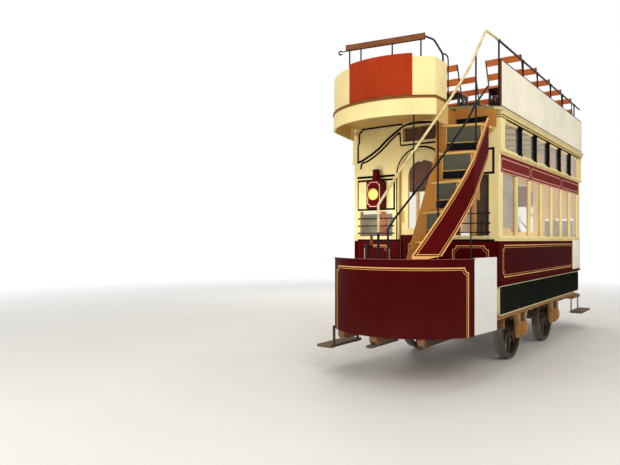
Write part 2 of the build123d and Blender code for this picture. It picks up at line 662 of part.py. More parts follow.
def seat_back(x, y0, y1, pivot):
    """Two boards on two arms, leaning towards the front end."""
    back = None
    for y in (y0 - arm_out, y1 + arm_out):
        inner, outer = y - arm_thick / 2, y + arm_thick / 2
        arm = block(x - arm_half, x + arm_half, inner, outer, pivot, pivot + back_height - 160)
        arm += bar((x, inner, pivot), (x, outer, pivot), 24)
        arm -= bar((x, y - 9, pivot), (x, y + 9, pivot), pin_r + pin_fit)
        back = arm if back is None else back + arm
    for z in (pivot + back_height - 365, pivot + back_height - 190):
        board = Pos(x, z) * RectangleRounded(18, 82, 6)
        back += long_slab(board, y0 - arm_out - 5, y1 + arm_out + 5)
    return Pos(x, 0, pivot) * (Rot(0, -lean, 0) * (Pos(-x, 0, -pivot) * back))


number = 0
for side, (y0, y1) in (("left", left_seat), ("right", right_seat)):
    frames = []
    for x in seat_xs:
        number += 1
        frame, pivot = seat(x, y0, y1)
        frames.append(frame - deck)
        save(f"seat_back_{number}", seat_back(x, y0, y1, pivot))
    save(f"{side}_seat_frames", gather(frames))

# Wheels and axles
journal_r, axle_r, axle_end = 30, 37, 828
hub_r, rim_r, spokes = 85, 350, 8
spoke_w, spoke_thick, tyre = 62, 42, 100


def wheel():
    """One wheel on the -Y side, flange inwards, centred on the axle."""
    flange, back, middle = rail + tread_r, -wheel_back, -wheel_back - tyre / 2
    face = back - tyre
    rim = [(rim_r - 8, back - 10), (rim_r, back), (flange - 8, back), (flange, back - 8), (flange, back - 16),
           (tread_r + 1, back - 28), (tread_r - 3, face), (rim_r, face), (rim_r - 8, face + 14)]
    hub = [(20, back + 18), (62, back + 18), (hub_r, back), (hub_r, back - 74), (68, back - 88),
           (60, face - 18), (20, face - 18)]
    one = revolve(make_face(Polyline(*rim, close=True)), axis=Axis.Y)
    one += revolve(make_face(Polyline(*hub, close=True)), axis=Axis.Y)
    for i in range(spokes):
        spoke = extrude(Rectangle(spoke_w, spoke_thick), amount=rim_r - hub_r + 8, taper=2)
        one += Rot(0, i * 360 / spokes, 0) * (Pos(0, middle, hub_r - 6) * spoke)
    return one


axle = bar((0, -720, 0), (0, 720, 0), axle_r) + bar((0, -axle_end, 0), (0, axle_end, 0), journal_r)
wheelset = wheel() + Rot(0, 0, 180) * wheel() + axle
for name, x in (("front_wheelset", -wheelbase / 2), ("rear_wheelset", wheelbase / 2)):
    save(name, Pos(x, 0, axle_z) * wheelset)

# Axleboxes with round covers, the horn guides that they slide in, and rubber springs in three lobes
box_in, box_out, box_half, box_high = 728, 850, 74, 85
horn_in, horn_out = 765, 815
spring_foot, spring_head, lobe_r, neck_r = axle_z + box_high, sole_bottom, 56, 40
boxes, horns, springs = [], [], []


def horn_guide(x):
    """Two cheeks with raking stays, joined under the axlebox, in the X and Z of the side view."""
    top = sole_bottom - axle_z
    outline = [(-76, top), (-250, top), (-230, top - 24), (-126, 30), (-126, -118), (126, -118), (126, 30),
               (230, top - 24), (250, top), (76, top), (76, -100), (-76, -100)]
    return make_face(Polyline(*[(x + px, axle_z + pz) for px, pz in outline], close=True))


def spring():
    """Half section of a spring, turned about its own axis."""
    lobe = (spring_head - spring_foot - 16) / 3
    edges = [Line((0, 0), (lobe_r, 0)), Line((lobe_r, 0), (lobe_r, 8)), Line((lobe_r, 8), (neck_r, 8))]
    z = 8
    for _ in range(3):
        edges.append(ThreePointArc((neck_r, z), (lobe_r - 4, z + lobe / 2), (neck_r, z + lobe)))
        z += lobe
    edges += [Line((neck_r, z), (lobe_r, z)), Line((lobe_r, z), (lobe_r, z + 8)),
              Line((lobe_r, z + 8), (0, z + 8)), Line((0, z + 8), (0, 0))]
    return revolve(Plane.XZ * make_face(edges), axis=Axis.Z)


spring_shape = spring()
for x in (-wheelbase / 2, wheelbase / 2):
    for side in (-1, 1):
        near, far = side * box_in, side * box_out
        box = block(x - box_half, x + box_half, near, far, axle_z - box_high, axle_z + box_high)
        box -= bar((x, near - side * 5, axle_z), (x, far - side * 20, axle_z), journal_r + pin_fit)
        box += bar((x, far - side * 5, axle_z), (x, far + side * 16, axle_z), 72)
        box += bar((x, far + side * 10, axle_z), (x, far + side * 24, axle_z), 52)
        boxes.append(box)
        horns.append(long_slab(horn_guide(x), side * horn_in, side * horn_out))
        springs.append(Pos(x, side * 790, spring_foot) * spring_shape)
save("axleboxes", gather(boxes))
save("horn_guides", gather(horns))
save("springs", gather(springs))

# Brake blocks on hung beams between the wheels, joined by one rod
shoe_gap, shoe_thick, beam_from_axle = 9, 46, 455
rod_end = wheelbase / 2 - beam_from_axle
brake = bar((-rod_end, 0, axle_z - 10), (rod_end, 0, axle_z - 10), 12)
for side in (-1, 1):
    wheel_x = side * wheelbase / 2
    beam_x = side * rod_end
    brake += block(beam_x - 22, beam_x + 22, -690, 690, axle_z - 40, axle_z + 20)
    for y in (-650, 650):
        shoe = bar((wheel_x, y - 34, axle_z), (wheel_x, y + 34, axle_z), tread_r + shoe_gap + shoe_thick)
        shoe -= bar((wheel_x, y - 60, axle_z), (wheel_x, y + 60, axle_z), tread_r + shoe_gap)
        reach = block(wheel_x - side * 370, wheel_x - side * 480, y - 50, y + 50, axle_z - 130, axle_z + 130)
        brake += shoe & reach
    for y in (-540, 540):
        brake += block(beam_x - 6, beam_x + 6, y - 20, y + 20, axle_z + 20, sole_bottom)
save("brake_gear", brake)
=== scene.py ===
from functools import partial
from math import atan2, cos, degrees, pi, radians, sin

import bmesh
import bpy
from mathutils import Matrix, Vector


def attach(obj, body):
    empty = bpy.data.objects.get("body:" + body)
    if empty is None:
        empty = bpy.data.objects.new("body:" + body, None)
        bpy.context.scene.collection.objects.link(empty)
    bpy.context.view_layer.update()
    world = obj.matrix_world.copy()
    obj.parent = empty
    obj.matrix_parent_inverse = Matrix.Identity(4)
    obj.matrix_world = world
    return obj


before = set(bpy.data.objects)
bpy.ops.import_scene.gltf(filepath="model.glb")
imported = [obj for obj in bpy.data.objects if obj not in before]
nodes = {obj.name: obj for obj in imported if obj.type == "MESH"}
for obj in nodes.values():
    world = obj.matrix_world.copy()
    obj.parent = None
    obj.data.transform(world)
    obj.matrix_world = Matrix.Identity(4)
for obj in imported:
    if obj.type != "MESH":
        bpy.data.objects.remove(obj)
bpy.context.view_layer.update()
print("frame loaded,", len(nodes), "nodes")

bodyEnd = 2.0575      # half the saloon's length
# the platform's edge on the stair's side: round by a turn in degrees, then a straight line to the saloon
bow = {"x": -2.32, "radius": 0.88, "turn": 72.7}
straight = {"start": (-2.5817, -0.8402), "startRun": 1.1166, "length": 0.5216, "step": (0.5182, -0.0598),
            "inward": (0.1146, 0.9934)}
stair = {"foot": 0.578, "rise": 0.31}
pillars = {"apart": 0.645, "half": 0.085, "frameHalf": 0.105, "end": 1.6}      # dark ones between the upper lights


# paints are written as on a colour card, 0 to 255
def shade(red, green, blue):
    def linear(v):
        v /= 255
        return v / 12.92 if v <= 0.04045 else ((v + 0.055) / 1.055) ** 2.4
    return (linear(red), linear(green), linear(blue), 1)


def dimmed(colour, part):
    return tuple(c * part for c in colour[:3]) + (1,)


paints = {
    "maroon": shade(82, 7, 9), "deepMaroon": shade(70, 4, 6), "cream": shade(243, 225, 162), "ochre": shade(182, 124, 60),
    "gold": shade(228, 172, 104), "black": shade(20, 19, 20), "iron": shade(30, 30, 32),
    "white": shade(242, 238, 222), "red": shade(170, 58, 26), "brown": shade(92, 52, 30),
    "roseLine": shade(216, 160, 142), "letterboard": shade(122, 44, 44), "dust": shade(142, 126, 104),
    "steel": shade(122, 120, 116), "rubber": shade(34, 33, 33), "lens": shade(250, 228, 110),
    "slate": shade(86, 85, 72), "yellowLine": shade(214, 200, 120), "treadWood": shade(88, 68, 52),
    "curtain": shade(112, 64, 40), "blind": shade(180, 165, 144), "brass": shade(206, 168, 92),
}
innerWoods = (shade(228, 194, 128), shade(182, 142, 88))
slatWoods = (shade(226, 130, 72), shade(184, 96, 50))
railWoods = (shade(150, 92, 56), shade(92, 50, 30))


# nodes of a material, wired in code: each function works in the tree of the sockets that it is given
def give(socket, value):      # a value, or another node's output
    if isinstance(value, bpy.types.NodeSocket):
        socket.id_data.links.new(value, socket)
    else:
        socket.default_value = value


def newNode(near, kind):
    return near.id_data.nodes.new("ShaderNode" + kind)


def wired(made, **values):      # Base_Color stands for the input named Base Color
    for name, value in values.items():
        give(made.inputs[name.replace("_", " ")], value)
    return made.outputs


def calc(operation, *values):
    made = newNode(next(value for value in values if isinstance(value, bpy.types.NodeSocket)), "Math")
    made.operation = operation
    for socket, value in zip(made.inputs, values):
        give(socket, value)
    return made.outputs[0]


plus, minus, times, divided = (partial(calc, name) for name in ("ADD", "SUBTRACT", "MULTIPLY", "DIVIDE"))
more, less, either = (partial(calc, name) for name in ("GREATER_THAN", "LESS_THAN", "MAXIMUM"))
sizeOf, signOf, fraction = (partial(calc, name) for name in ("ABSOLUTE", "SIGN", "FRACT"))
both = times      # of two masks


def between(value, low, high):
    return calc("COMPARE", value, (low + high) / 2, (high - low) / 2)


def radiusOf(a, b):
    return calc("SQRT", plus(times(a, a), times(b, b)))


def over(base, mask, top):
    made = newNode(mask, "Mix")
    made.data_type = "RGBA"
    return wired(made, Factor=mask, A=base, B=top)["Result"]


def ramp(value, low, high, lowest=0.0, highest=1.0):
    made = newNode(value, "MapRange")
    return wired(made, Value=value, From_Min=low, From_Max=high, To_Min=lowest, To_Max=highest)["Result"]


def noise(vector, scale, detail=3.0, roughness=0.5):
    return wired(newNode(vector, "TexNoise"), Vector=vector, Scale=scale, Detail=detail, Roughness=roughness)["Fac"]


def stretched(vector, scale=(1, 1, 1), turn=(0, 0, 0)):
    return wired(newNode(vector, "Mapping"), Vector=vector, Scale=scale, Rotation=turn)["Vector"]


def split(vector):
    return tuple(wired(newNode(vector, "SeparateXYZ"), Vector=vector))


def brightened(colour, value):
    return wired(newNode(value, "HueSaturation"), Color=colour, Value=value)["Color"]


def newGroup(name, inputs, outputs):
    group = bpy.data.node_groups.new(name, "ShaderNodeTree")
    for way, sockets in (("INPUT", inputs), ("OUTPUT", outputs)):
        for label, kind in sockets:
            group.interface.new_socket(name=label, in_out=way, socket_type="NodeSocket" + kind)
    return group, group.nodes.new("NodeGroupInput").outputs, group.nodes.new("NodeGroupOutput")


def useGroup(near, group, **values):
    made = newNode(near, "Group")
    made.node_tree = group
    return wired(made, **values)


# a painted line round a panel whose corners are notched inwards
liningGroup, given, result = newGroup(
    "notchedLining", [(label, "Float") for label in ("Across", "Up", "Half Width", "Half Height", "Corner", "Line")],
    [("Line", "Float"), ("Inside", "Float")])
outwards = minus(sizeOf(given["Across"]), given["Half Width"])
upwards = minus(sizeOf(given["Up"]), given["Half Height"])
outline = either(either(outwards, upwards), minus(given["Corner"], radiusOf(outwards, upwards)))
wired(result, Line=less(sizeOf(outline), times(given["Line"], 0.5)), Inside=less(outline, 0.0))

# paint that has been varnished, rubbed and left in a dusty shed
ageGroup, given, result = newGroup(
    "agedPaint", [("Vector", "Vector"), ("Color", "Color"), ("Roughness", "Float"), ("Dust", "Float")],
    [("Color", "Color"), ("Roughness", "Float"), ("Height", "Float")])
broad = noise(given["Vector"], 2.3, 5, 0.6)
fine = noise(given["Vector"], 70, 3)
lowness = ramp(split(given["Vector"])[2], 1.25, 0.15)
settled = both(both(lowness, given["Dust"]), ramp(broad, 0.35, 0.65, 0.25, 1))
uneven = brightened(given["Color"], ramp(broad, 0.3, 0.7, 0.9, 1.08))
rubbed = plus(given["Roughness"], ramp(broad, 0.3, 0.7, -0.06, 0.08))
wired(result, Color=over(uneven, settled, paints["dust"]), Roughness=plus(rubbed, times(settled, 0.35)),
      Height=plus(times(fine, 0.35), broad))

# grain along X of the vector that it is given
grainGroup, given, result = newGroup("woodGrain", [("Vector", "Vector"), ("Light", "Color"), ("Dark", "Color")],
                                     [("Color", "Color"), ("Height", "Float")])
rings = noise(stretched(given["Vector"], (1.4, 26, 26)), 1.6, 6, 0.65)
pores = noise(stretched(given["Vector"], (9, 240, 240)), 1.2, 2)
figure = ramp(plus(rings, times(pores, 0.4)), 0.45, 0.95)
wired(result, Color=over(given["Dark"], figure, given["Light"]), Height=plus(figure, pores))


def lining(across, up, centre, half, corner, line):
    made = useGroup(across, liningGroup, Across=minus(across, centre[0]), Up=minus(up, centre[1]),
                    Half_Width=half[0], Half_Height=half[1], Corner=corner, Line=line)
    return made["Line"], made["Inside"]


def goldLines(colour, across, up, look, centre, half):      # a broad line with a thin one inside it
    for shrink, line in look["lines"]:
        mask = lining(across, up, centre, (half[0] - shrink, half[1] - shrink), look["corner"], line)[0]
        colour = over(colour, mask, paints["gold"])
    return colour


def grain(place, light, dark, along="x"):
    turns = {"x": (0, 0, 0), "y": (0, 0, pi / 2), "z": (0, pi / 2, 0)}
    return useGroup(place, grainGroup, Vector=stretched(place, turn=turns[along]), Light=light, Dark=dark)


def startFinish(name):
    material = bpy.data.materials.new(name)
    material.use_nodes = True
    return material, material.node_tree.nodes.new("ShaderNodeTexCoord").outputs["Object"]


def shaderOf(material, **values):
    wired(material.node_tree.nodes["Principled BSDF"], **values)
    return material


def endFinish(material, place, colour, look, height=None, metal=0.0):
    aged = useGroup(place, ageGroup, Vector=place, Color=colour, Roughness=look["roughness"], Dust=look["dust"])
    relief = aged["Height"] if height is None else plus(times(aged["Height"], 0.4), height)
    bump = wired(newNode(place, "Bump"), Strength=look["bump"], Distance=0.0012, Height=relief)
    return shaderOf(material, Base_Color=aged["Color"], Roughness=aged["Roughness"], Metallic=metal,
                    Normal=bump["Normal"], Coat_Weight=look["coat"], Coat_Roughness=0.05, Coat_IOR=1.25,
                    Specular_IOR_Level=look.get("shine", 0.08))


coachPaint = {"roughness": 0.32, "coat": 0.28, "dust": 0.12, "bump": 0.10, "shine": 0}
sidePaint = {"roughness": 0.36, "coat": 0.04, "dust": 0.04, "bump": 0.08, "shine": 0}
deepPaint = {"roughness": 0.3, "coat": 0.2, "dust": 0.04, "bump": 0.08, "shine": 0}
blackPaint = {"roughness": 0.5, "coat": 0, "dust": 0.04, "bump": 0.1, "shine": 0}
housePaint = {"roughness": 0.42, "coat": 0.1, "dust": 0.3, "bump": 0.16, "shine": 0.02}
lensGlass = {"roughness": 0.12, "coat": 0.6, "dust": 0, "bump": 0.15, "shine": 0.5}
workPaint = {"roughness": 0.55, "coat": 0.0, "dust": 0.75, "bump": 0.25}
ironPaint = {"roughness": 0.4, "coat": 0.1, "dust": 0.5, "bump": 0.2}
wheelPaint = {"roughness": 0.45, "coat": 0, "dust": 0.22, "bump": 0.3}
rubber = {"roughness": 0.7, "coat": 0, "dust": 0.6, "bump": 0.4}
varnish = {"roughness": 0.34, "coat": 0.35, "dust": 0.15, "bump": 0.3}
bareWood = {"roughness": 0.6, "coat": 0.0, "dust": 0.45, "bump": 0.45}


def plainPaint(name, colour, look):
    material, place = startFinish(name)
    worn = ramp(noise(place, 19, 4, 0.7), 0.66, 0.74, 0, 0.5)
    return endFinish(material, place, over(colour, worn, dimmed(colour, 0.6)), look)


def plainWood(name, light, dark, look, plank=None):
    material, place = startFinish(name)
    wood = grain(place, light, dark)
    colour, height = wood["Color"], wood["Height"]
    if plank:      # joints between boards of a width and gap, with each board a little different
        board = divided(split(place)[1], plank[0])
        joint = more(sizeOf(minus(fraction(board), 0.5)), 0.5 - plank[1] / plank[0] / 2)
        tint = newNode(board, "TexWhiteNoise")
        tint.noise_dimensions = "1D"
        wired(tint, W=calc("FLOOR", board))
        colour = brightened(colour, ramp(tint.outputs["Value"], 0, 1, 0.8, 1.15))
        colour = over(colour, joint, dimmed(dark, 0.25))
        height = minus(height, times(joint, 4))
    return endFinish(material, place, colour, look, height)


# the same pattern at both ends: away and across are x and y at the front, -x and -y at the rear
def turned(x, y):
    return times(times(y, signOf(x)), -1)


def endwise(place):
    x, y, z = split(place)
    return times(sizeOf(x), -1), turned(x, y), z


def roundBow(away, across):
    return times(calc("ARCTAN2", across, minus(bow["x"], away)), bow["radius"])


def fromBow(away, across):
    return radiusOf(minus(bow["x"], away), across)


def onPillars(x, half):
    spaced = fraction(plus(divided(x, pillars["apart"]), 0.5))
    near = less(sizeOf(minus(spaced, 0.5)), half / pillars["apart"])
    return both(near, between(x, -pillars["end"], pillars["end"]))


def lightFrameFinish():
    material, place = startFinish("upperLightFrames")
    dark = onPillars(split(place)[0], pillars["frameHalf"])
    return endFinish(material, place, over(paints["cream"], dark, paints["black"]), coachPaint)


# saloon side, painted by height, with the cabin's wood inside
sideLook = {"waist": (1.012, 1.512), "waistFoot": (1.012, 1.024), "panel": (-0.19, 1.286), "corner": 0.05,
            "lines": (((1.72, 0.176), 0.011), ((1.69, 0.152), 0.004)),
            "letterboard": (2.266, 2.466), "letterEnd": 1.985, "letterFoot": (2.272, 2.28),
            "roses": ((-1.405, 0.555), (0, 0.78), (1.405, 0.555)), "roseLevel": 2.366, "roseHalf": 0.058,
            "roseCorner": 0.022, "roseLine": 0.012, "lights": (2.514, 2.857), "beads": ((2.861, 0.006), (2.884, 0.005)),
            "inside": 0.884, "innerEnd": 2.05, "innerDark": 2.48}


def sideFinish():
    material, place = startFinish("saloonSide")
    x, y, z = split(place)
    colour = over(paints["cream"], between(z, *sideLook["waist"]), paints["deepMaroon"])
    colour = over(colour, between(z, *sideLook["waistFoot"]), paints["black"])
    for half, line in sideLook["lines"]:
        mask, inside = lining(turned(y, x), z, sideLook["panel"], half, sideLook["corner"], line)
        colour = over(over(colour, inside, shade(64, 8, 10)), mask, paints["gold"])
    lettered = between(x, -sideLook["letterEnd"], sideLook["letterEnd"])
    colour = over(colour, both(lettered, between(z, *sideLook["letterboard"])), paints["letterboard"])
    for centre, half in sideLook["roses"]:
        mask = lining(x, z, (centre, sideLook["roseLevel"]), (half, sideLook["roseHalf"]), sideLook["roseCorner"],
                      sideLook["roseLine"])[0]
        colour = over(colour, mask, paints["roseLine"])
    colour = over(colour, both(lettered, between(z, *sideLook["letterFoot"])), paints["roseLine"])
    lights = both(between(z, *sideLook["lights"]), onPillars(x, pillars["half"]))
    colour = over(colour, lights, paints["black"])
    for level, width in sideLook["beads"]:
        colour = over(colour, between(z, level - width, level + width), paints["brown"])
    wood = grain(place, shade(214, 168, 102), shade(160, 108, 60))
    lined = over(wood["Color"], more(z, sideLook["innerDark"]), shade(84, 48, 30))
    inner = both(less(sizeOf(y), sideLook["inside"]), between(x, -sideLook["innerEnd"], sideLook["innerEnd"]))
    return endFinish(material, place, over(colour, inner, lined), sidePaint)


# saloon end: cream above the sill, maroon below, black lines, gold panels
endLook = {"sill": 1.508, "sillLine": 0.024, "corner": 0.045, "lines": ((0, 0.011), (0.022, 0.004)),
           "panels": [((0.596, 1.17), (0.174, 0.288)), ((-0.597, 1.17), (0.206, 0.288))],
           "frames": [((0.610, 2.082), (0.258, 0.181)), ((-0.595, 2.391), (0.262, 0.132))], "frameLine": 0.026,
           "archFoot": 2.308, "arch": (0.302, 0.326), "inside": -2.03}


def bulkheadFinish():
    material, place = startFinish("saloonEnd")
    away, across, z = endwise(place)
    sill = endLook["sill"]
    colour = over(paints["cream"], less(z, sill), paints["maroon"])
    colour = over(colour, between(z, sill, sill + endLook["sillLine"]), paints["black"])
    for centre, half in endLook["panels"]:
        colour = goldLines(colour, across, z, endLook, centre, half)
    for centre, half in endLook["frames"]:
        colour = over(colour, lining(across, z, centre, half, 0, endLook["frameLine"])[0], paints["black"])
    fromDoor = radiusOf(across, calc("MAXIMUM", minus(z, endLook["archFoot"]), 0))
    colour = over(colour, both(between(fromDoor, *endLook["arch"]), more(z, sill)), paints["black"])
    wood = grain(place, *innerWoods, "z")
    colour = over(colour, more(away, endLook["inside"]), wood["Color"])
    return endFinish(material, place, colour, coachPaint)


doorLook = {"split": 1.586, "panel": ((0, 1.228), (0.19, 0.285), 0.04, 0.009), "head": 2.634, "inside": -1.9755}


def doorFinish():
    material, place = startFinish("slidingDoor")
    away, across, z = endwise(place)
    colour = over(paints["cream"], less(z, doorLook["split"]), paints["maroon"])
    colour = over(colour, lining(across, z, *doorLook["panel"])[0], paints["gold"])
    colour = over(colour, more(z, doorLook["head"]), paints["iron"])
    wood = grain(place, *innerWoods, "z")
    colour = over(colour, more(away, doorLook["inside"]), wood["Color"])
    return endFinish(material, place, colour, coachPaint)


dashLook = {"centre": (-0.207, 0.82), "half": (0.819, 0.421), "corner": 0.05, "lines": ((0, 0.013), (0.021, 0.005)),
            "inside": 0.868, "insideTop": 1.314, "capHighlightFoot": 1.3275}


def dashFinish():
    material, place = startFinish("curvedDash")
    away, across, z = endwise(place)
    colour = goldLines(paints["deepMaroon"], roundBow(away, across), z, dashLook, dashLook["centre"], dashLook["half"])
    inside = both(less(fromBow(away, across), dashLook["inside"]), less(z, dashLook["insideTop"]))
    wood = grain(place, shade(120, 72, 40), shade(74, 42, 26), "z")
    colour = over(colour, inside, wood["Color"])
    # painted highlight: the top edge of the dash is coloured lighter where light catches it
    colour = over(colour, more(z, dashLook["capHighlightFoot"]), shade(150, 92, 88))
    return endFinish(material, place, colour, deepPaint)


# gold along the stringer's edges and foot, with a thin line inside it; high and low are points of the edges
stringerLook = {"high": (0.410, 1.364), "low": (0.713, 1.364), "slope": 1.42, "edge": 0.026, "line": (0.052, 0.062),
                "foot": 1.362, "footLine": (1.374, 1.382), "footEnds": 0.056}


def stringerFinish():
    material, place = startFinish("stairStringer")
    away, across, z = endwise(place)
    startX, slope = straight["start"][0], stringerLook["slope"]
    onBow = times(roundBow(away, across), -1)
    onSide = plus(straight["startRun"], divided(minus(away, startX), straight["inward"][1]))
    beyond = more(away, startX)
    run = plus(times(onSide, beyond), times(onBow, minus(1, beyond)))
    rise = minus(z, times(run, slope))
    top, low = (level - slope * start for start, level in (stringerLook["high"], stringerLook["low"]))
    edge, (near, far), ends = stringerLook["edge"], stringerLook["line"], stringerLook["footEnds"]
    colour = paints["maroon"]
    for mask in (more(rise, top - edge), less(rise, low + edge), less(z, stringerLook["foot"]),
                 both(between(z, *stringerLook["footLine"]), between(rise, low + ends, top - ends)),
                 between(rise, top - far, top - near), between(rise, low + near, low + far)):
        colour = over(colour, mask, paints["gold"])
    return endFinish(material, place, colour, deepPaint)


# the landing's rim, ochre beside the stair, with the edge of its floor above and its ceiling inside
landingLook = {"stairAcross": -0.56, "stairAway": -2.945, "edgeFoot": 2.929, "edgeDark": 2.9475, "edgeTop": 2.9572,
               "rimInside": 0.862, "sideNormal": (0.979, 0.204), "sideInside": 0.835, "ceiling": 2.93, "floor": 2.9574}


def landingFinish():
    material, place = startFinish("landingRim")
    away, across, z = endwise(place)
    stairSide = both(less(across, landingLook["stairAcross"]), more(away, landingLook["stairAway"]))
    colour = over(paints["cream"], stairSide, paints["ochre"])
    colour = over(colour, between(z, landingLook["edgeFoot"], landingLook["edgeTop"]), shade(150, 104, 54))
    colour = over(colour, between(z, landingLook["edgeDark"], landingLook["edgeTop"]), paints["brown"])
    normal = landingLook["sideNormal"]
    fromSide = minus(times(across, normal[0]), times(minus(away, bow["x"]), normal[1]))
    inside = both(less(fromBow(away, across), landingLook["rimInside"]), less(fromSide, landingLook["sideInside"]))
    colour = over(colour, both(inside, less(z, landingLook["ceiling"])), shade(214, 178, 112))
    boards = grain(place, shade(150, 116, 84), shade(96, 70, 50), "y")
    colour = over(colour, more(z, landingLook["floor"]), boards["Color"])
    return endFinish(material, place, colour, housePaint)


treadLook = {"thick": 0.0275, "top": 0.0009, "ridges": 260}


def stairFinish():
    material, place = startFinish("windingStair")
    x, y, z = split(place)
    steps = plus(divided(minus(z, stair["foot"]), stair["rise"]), 0.5)
    fromTop = times(minus(fraction(steps), 0.5), stair["rise"])
    colour = over(paints["ochre"], between(fromTop, -treadLook["thick"], 0), shade(216, 176, 104))
    tread = grain(place, shade(126, 98, 72), paints["treadWood"], "y")
    flat = less(sizeOf(fromTop), treadLook["top"])
    ridges = calc("SINE", times(x, treadLook["ridges"]))
    return endFinish(material, place, over(colour, flat, tread["Color"]), housePaint, both(flat, ridges))


# pieces that are partly wood and partly iron
def mixedFinish(name, woodMask, woods, along):
    material, place = startFinish(name)
    wood = grain(place, *woods, along)
    mask = woodMask(*split(place))
    return endFinish(material, place, over(paints["iron"], mask, wood["Color"]), varnish, both(mask, wood["Height"]))


wheelLook = {"x": 0.825, "z": 0.418, "hub": 0.04, "tyre": 0.349, "tread": 0.3955, "treadSides": (0.58, 0.692)}


def wheelFinish(name, centre):
    material, place = startFinish(name)
    x, y, z = split(place)
    distance = radiusOf(minus(x, centre), minus(z, wheelLook["z"]))
    tread = both(more(distance, wheelLook["tread"]), between(sizeOf(y), *wheelLook["treadSides"]))
    colour = over(shade(48, 34, 26), more(distance, wheelLook["tyre"]), paints["iron"])
    colour = over(colour, less(distance, wheelLook["hub"]), shade(96, 92, 86))
    colour = over(colour, tread, paints["steel"])
    return endFinish(material, place, colour, wheelPaint, metal=times(tread, 0.85))


def glassFinish(name, tint):
    material, place = startFinish(name)
    shadow = newNode(place, "LightPath").outputs["Is Shadow Ray"]
    return shaderOf(material, Roughness=ramp(noise(place, 3.5, 5, 0.65), 0.4, 0.8, 0.02, 0.1), IOR=1.12,
                    Base_Color=over(tint, ramp(noise(place, 1.3, 3), 0.3, 0.8, 0, 0.25), shade(222, 218, 206)),
                    Transmission_Weight=0.98, Alpha=ramp(shadow, 0, 1, 1, 0.1))


lampLook = {"across": 0.56, "z": 2.078, "front": -2.1955, "panel": (0.082, 0.146), "corner": 0.03, "line": 0.009,
            "ring": (0.058, 0.070), "glass": 0.0585, "ribs": 900, "lens": {"radius": 0.0612, "high": 0.28, "x": -2.2018}}


def fromLamp(across, z):
    return radiusOf(minus(across, lampLook["across"]), minus(z, lampLook["z"]))


def lampFinish():
    material, place = startFinish("platformLamp")
    away, across, z = endwise(place)
    distance, front = fromLamp(across, z), less(away, lampLook["front"])
    middle = (lampLook["across"], lampLook["z"])
    line = lining(across, z, middle, lampLook["panel"], lampLook["corner"], lampLook["line"])[0]
    colour = over(paints["maroon"], both(line, front), paints["roseLine"])
    colour = over(colour, both(between(distance, *lampLook["ring"]), front), shade(226, 184, 96))
    colour = over(colour, both(less(distance, lampLook["glass"]), front), paints["lens"])
    return endFinish(material, place, colour, coachPaint)


def boardFinish(name, ground, edge, margins, look=housePaint):
    material, place = startFinish(name)
    x, y, z = split(place)
    streak = ramp(noise(stretched(place, (1, 1, 0.25)), 7, 5, 0.7), 0.4, 0.8, 0, 0.3)
    mask = either(less(z, margins["low"]), more(z, margins["high"]))
    if "end" in margins:
        mask = either(mask, more(sizeOf(x), margins["end"]))
    return endFinish(material, place, over(over(ground, streak, dimmed(ground, 0.72)), mask, edge), look)


# the deck is cambered round an axis below the ground; what is nearer that axis than its underside is lining
deckLook = {"axis": -2.1705, "underside": 5.2105, "edge": 0.955, "board": 0.095, "boardPart": 0.93, "lining": 0.11,
            "liningPart": 0.955}


def deckFinish():
    material, place = startFinish("boardedDeck")
    x, y, z = split(place)
    gap = more(fraction(divided(plus(y, 2), deckLook["board"])), deckLook["boardPart"])
    worn = grain(place, shade(150, 128, 102), shade(106, 86, 66))
    fromAxis = radiusOf(y, minus(z, deckLook["axis"]))
    below = either(less(fromAxis, deckLook["underside"]), more(sizeOf(y), deckLook["edge"]))
    # painted shade: inside the saloon the ceiling boards get a darker copy of the boards' colour, while their edge
    # outside keeps the lit one
    ceiling = less(sizeOf(y), sideLook["inside"])
    joint = more(fraction(divided(y, deckLook["lining"])), deckLook["liningPart"])
    boards = over(over(shade(212, 199, 150), ceiling, shade(146, 134, 88)), joint, shade(112, 98, 66))
    colour = over(over(worn["Color"], gap, shade(46, 38, 30)), below, boards)
    return endFinish(material, place, colour, bareWood, worn["Height"])


handrailLook = {"ironTop": 1.60}


def handrailFinish():
    material, place = startFinish("brassyRail")
    rubbed = ramp(noise(place, 14, 4), 0.45, 0.6, 0, 0.6)
    colour = over(shade(222, 206, 156), rubbed, shade(176, 150, 96))
    colour = over(colour, less(split(place)[2], handrailLook["ironTop"]), paints["iron"])
    return endFinish(material, place, colour, coachPaint)


def dress(material, *names):
    for name in names:
        for holder in nodes[name].material_slots:
            holder.material = material


def ends(name):
    return "front_" + name, "rear_" + name


dress(sideFinish(), "left_side_wall", "right_side_wall")
dress(bulkheadFinish(), *ends("bulkhead"))
dress(doorFinish(), *ends("door"))
dress(dashFinish(), *ends("dash"))
dress(stringerFinish(), *ends("stair_stringer"))
dress(plainPaint("landingSheet", paints["cream"], coachPaint), "landing_sheets")
dress(landingFinish(), *ends("landing"))
dress(stairFinish(), *ends("stairs"))
dress(plainPaint("ochreString", paints["ochre"], housePaint), *ends("stair_string"))
dress(boardFinish("whiteSheet", shade(232, 234, 230), paints["brown"], {"low": 0.5, "high": 1.4}), "side_sheets")
dress(boardFinish("whiteDeckBoard", shade(250, 244, 222), paints["brown"], {"low": 2.985, "high": 3.468, "end": 2.045}),
      "left_deck_board", "right_deck_board")
dress(boardFinish("blackRockerBoard", shade(24, 29, 26), shade(206, 196, 150), {"low": 0.703, "high": 1.006, "end": 2.0},
                  blackPaint), "rocker_boards")
dress(plainPaint("ochreFrame", paints["ochre"], workPaint), "underframe", "axleboxes", "horn_guides")
dress(plainWood("platformBoards", shade(150, 104, 62), shade(104, 66, 36), bareWood, (0.085, 0.005)), *ends("platform"))
dress(plainWood("saloonBoards", shade(134, 108, 82), shade(84, 64, 48), bareWood, (0.062, 0.012)), "saloon_floor")
dress(plainWood("stepBoards", shade(120, 94, 70), shade(74, 54, 40), bareWood), "boarding_steps")
dress(deckFinish(), "top_deck")
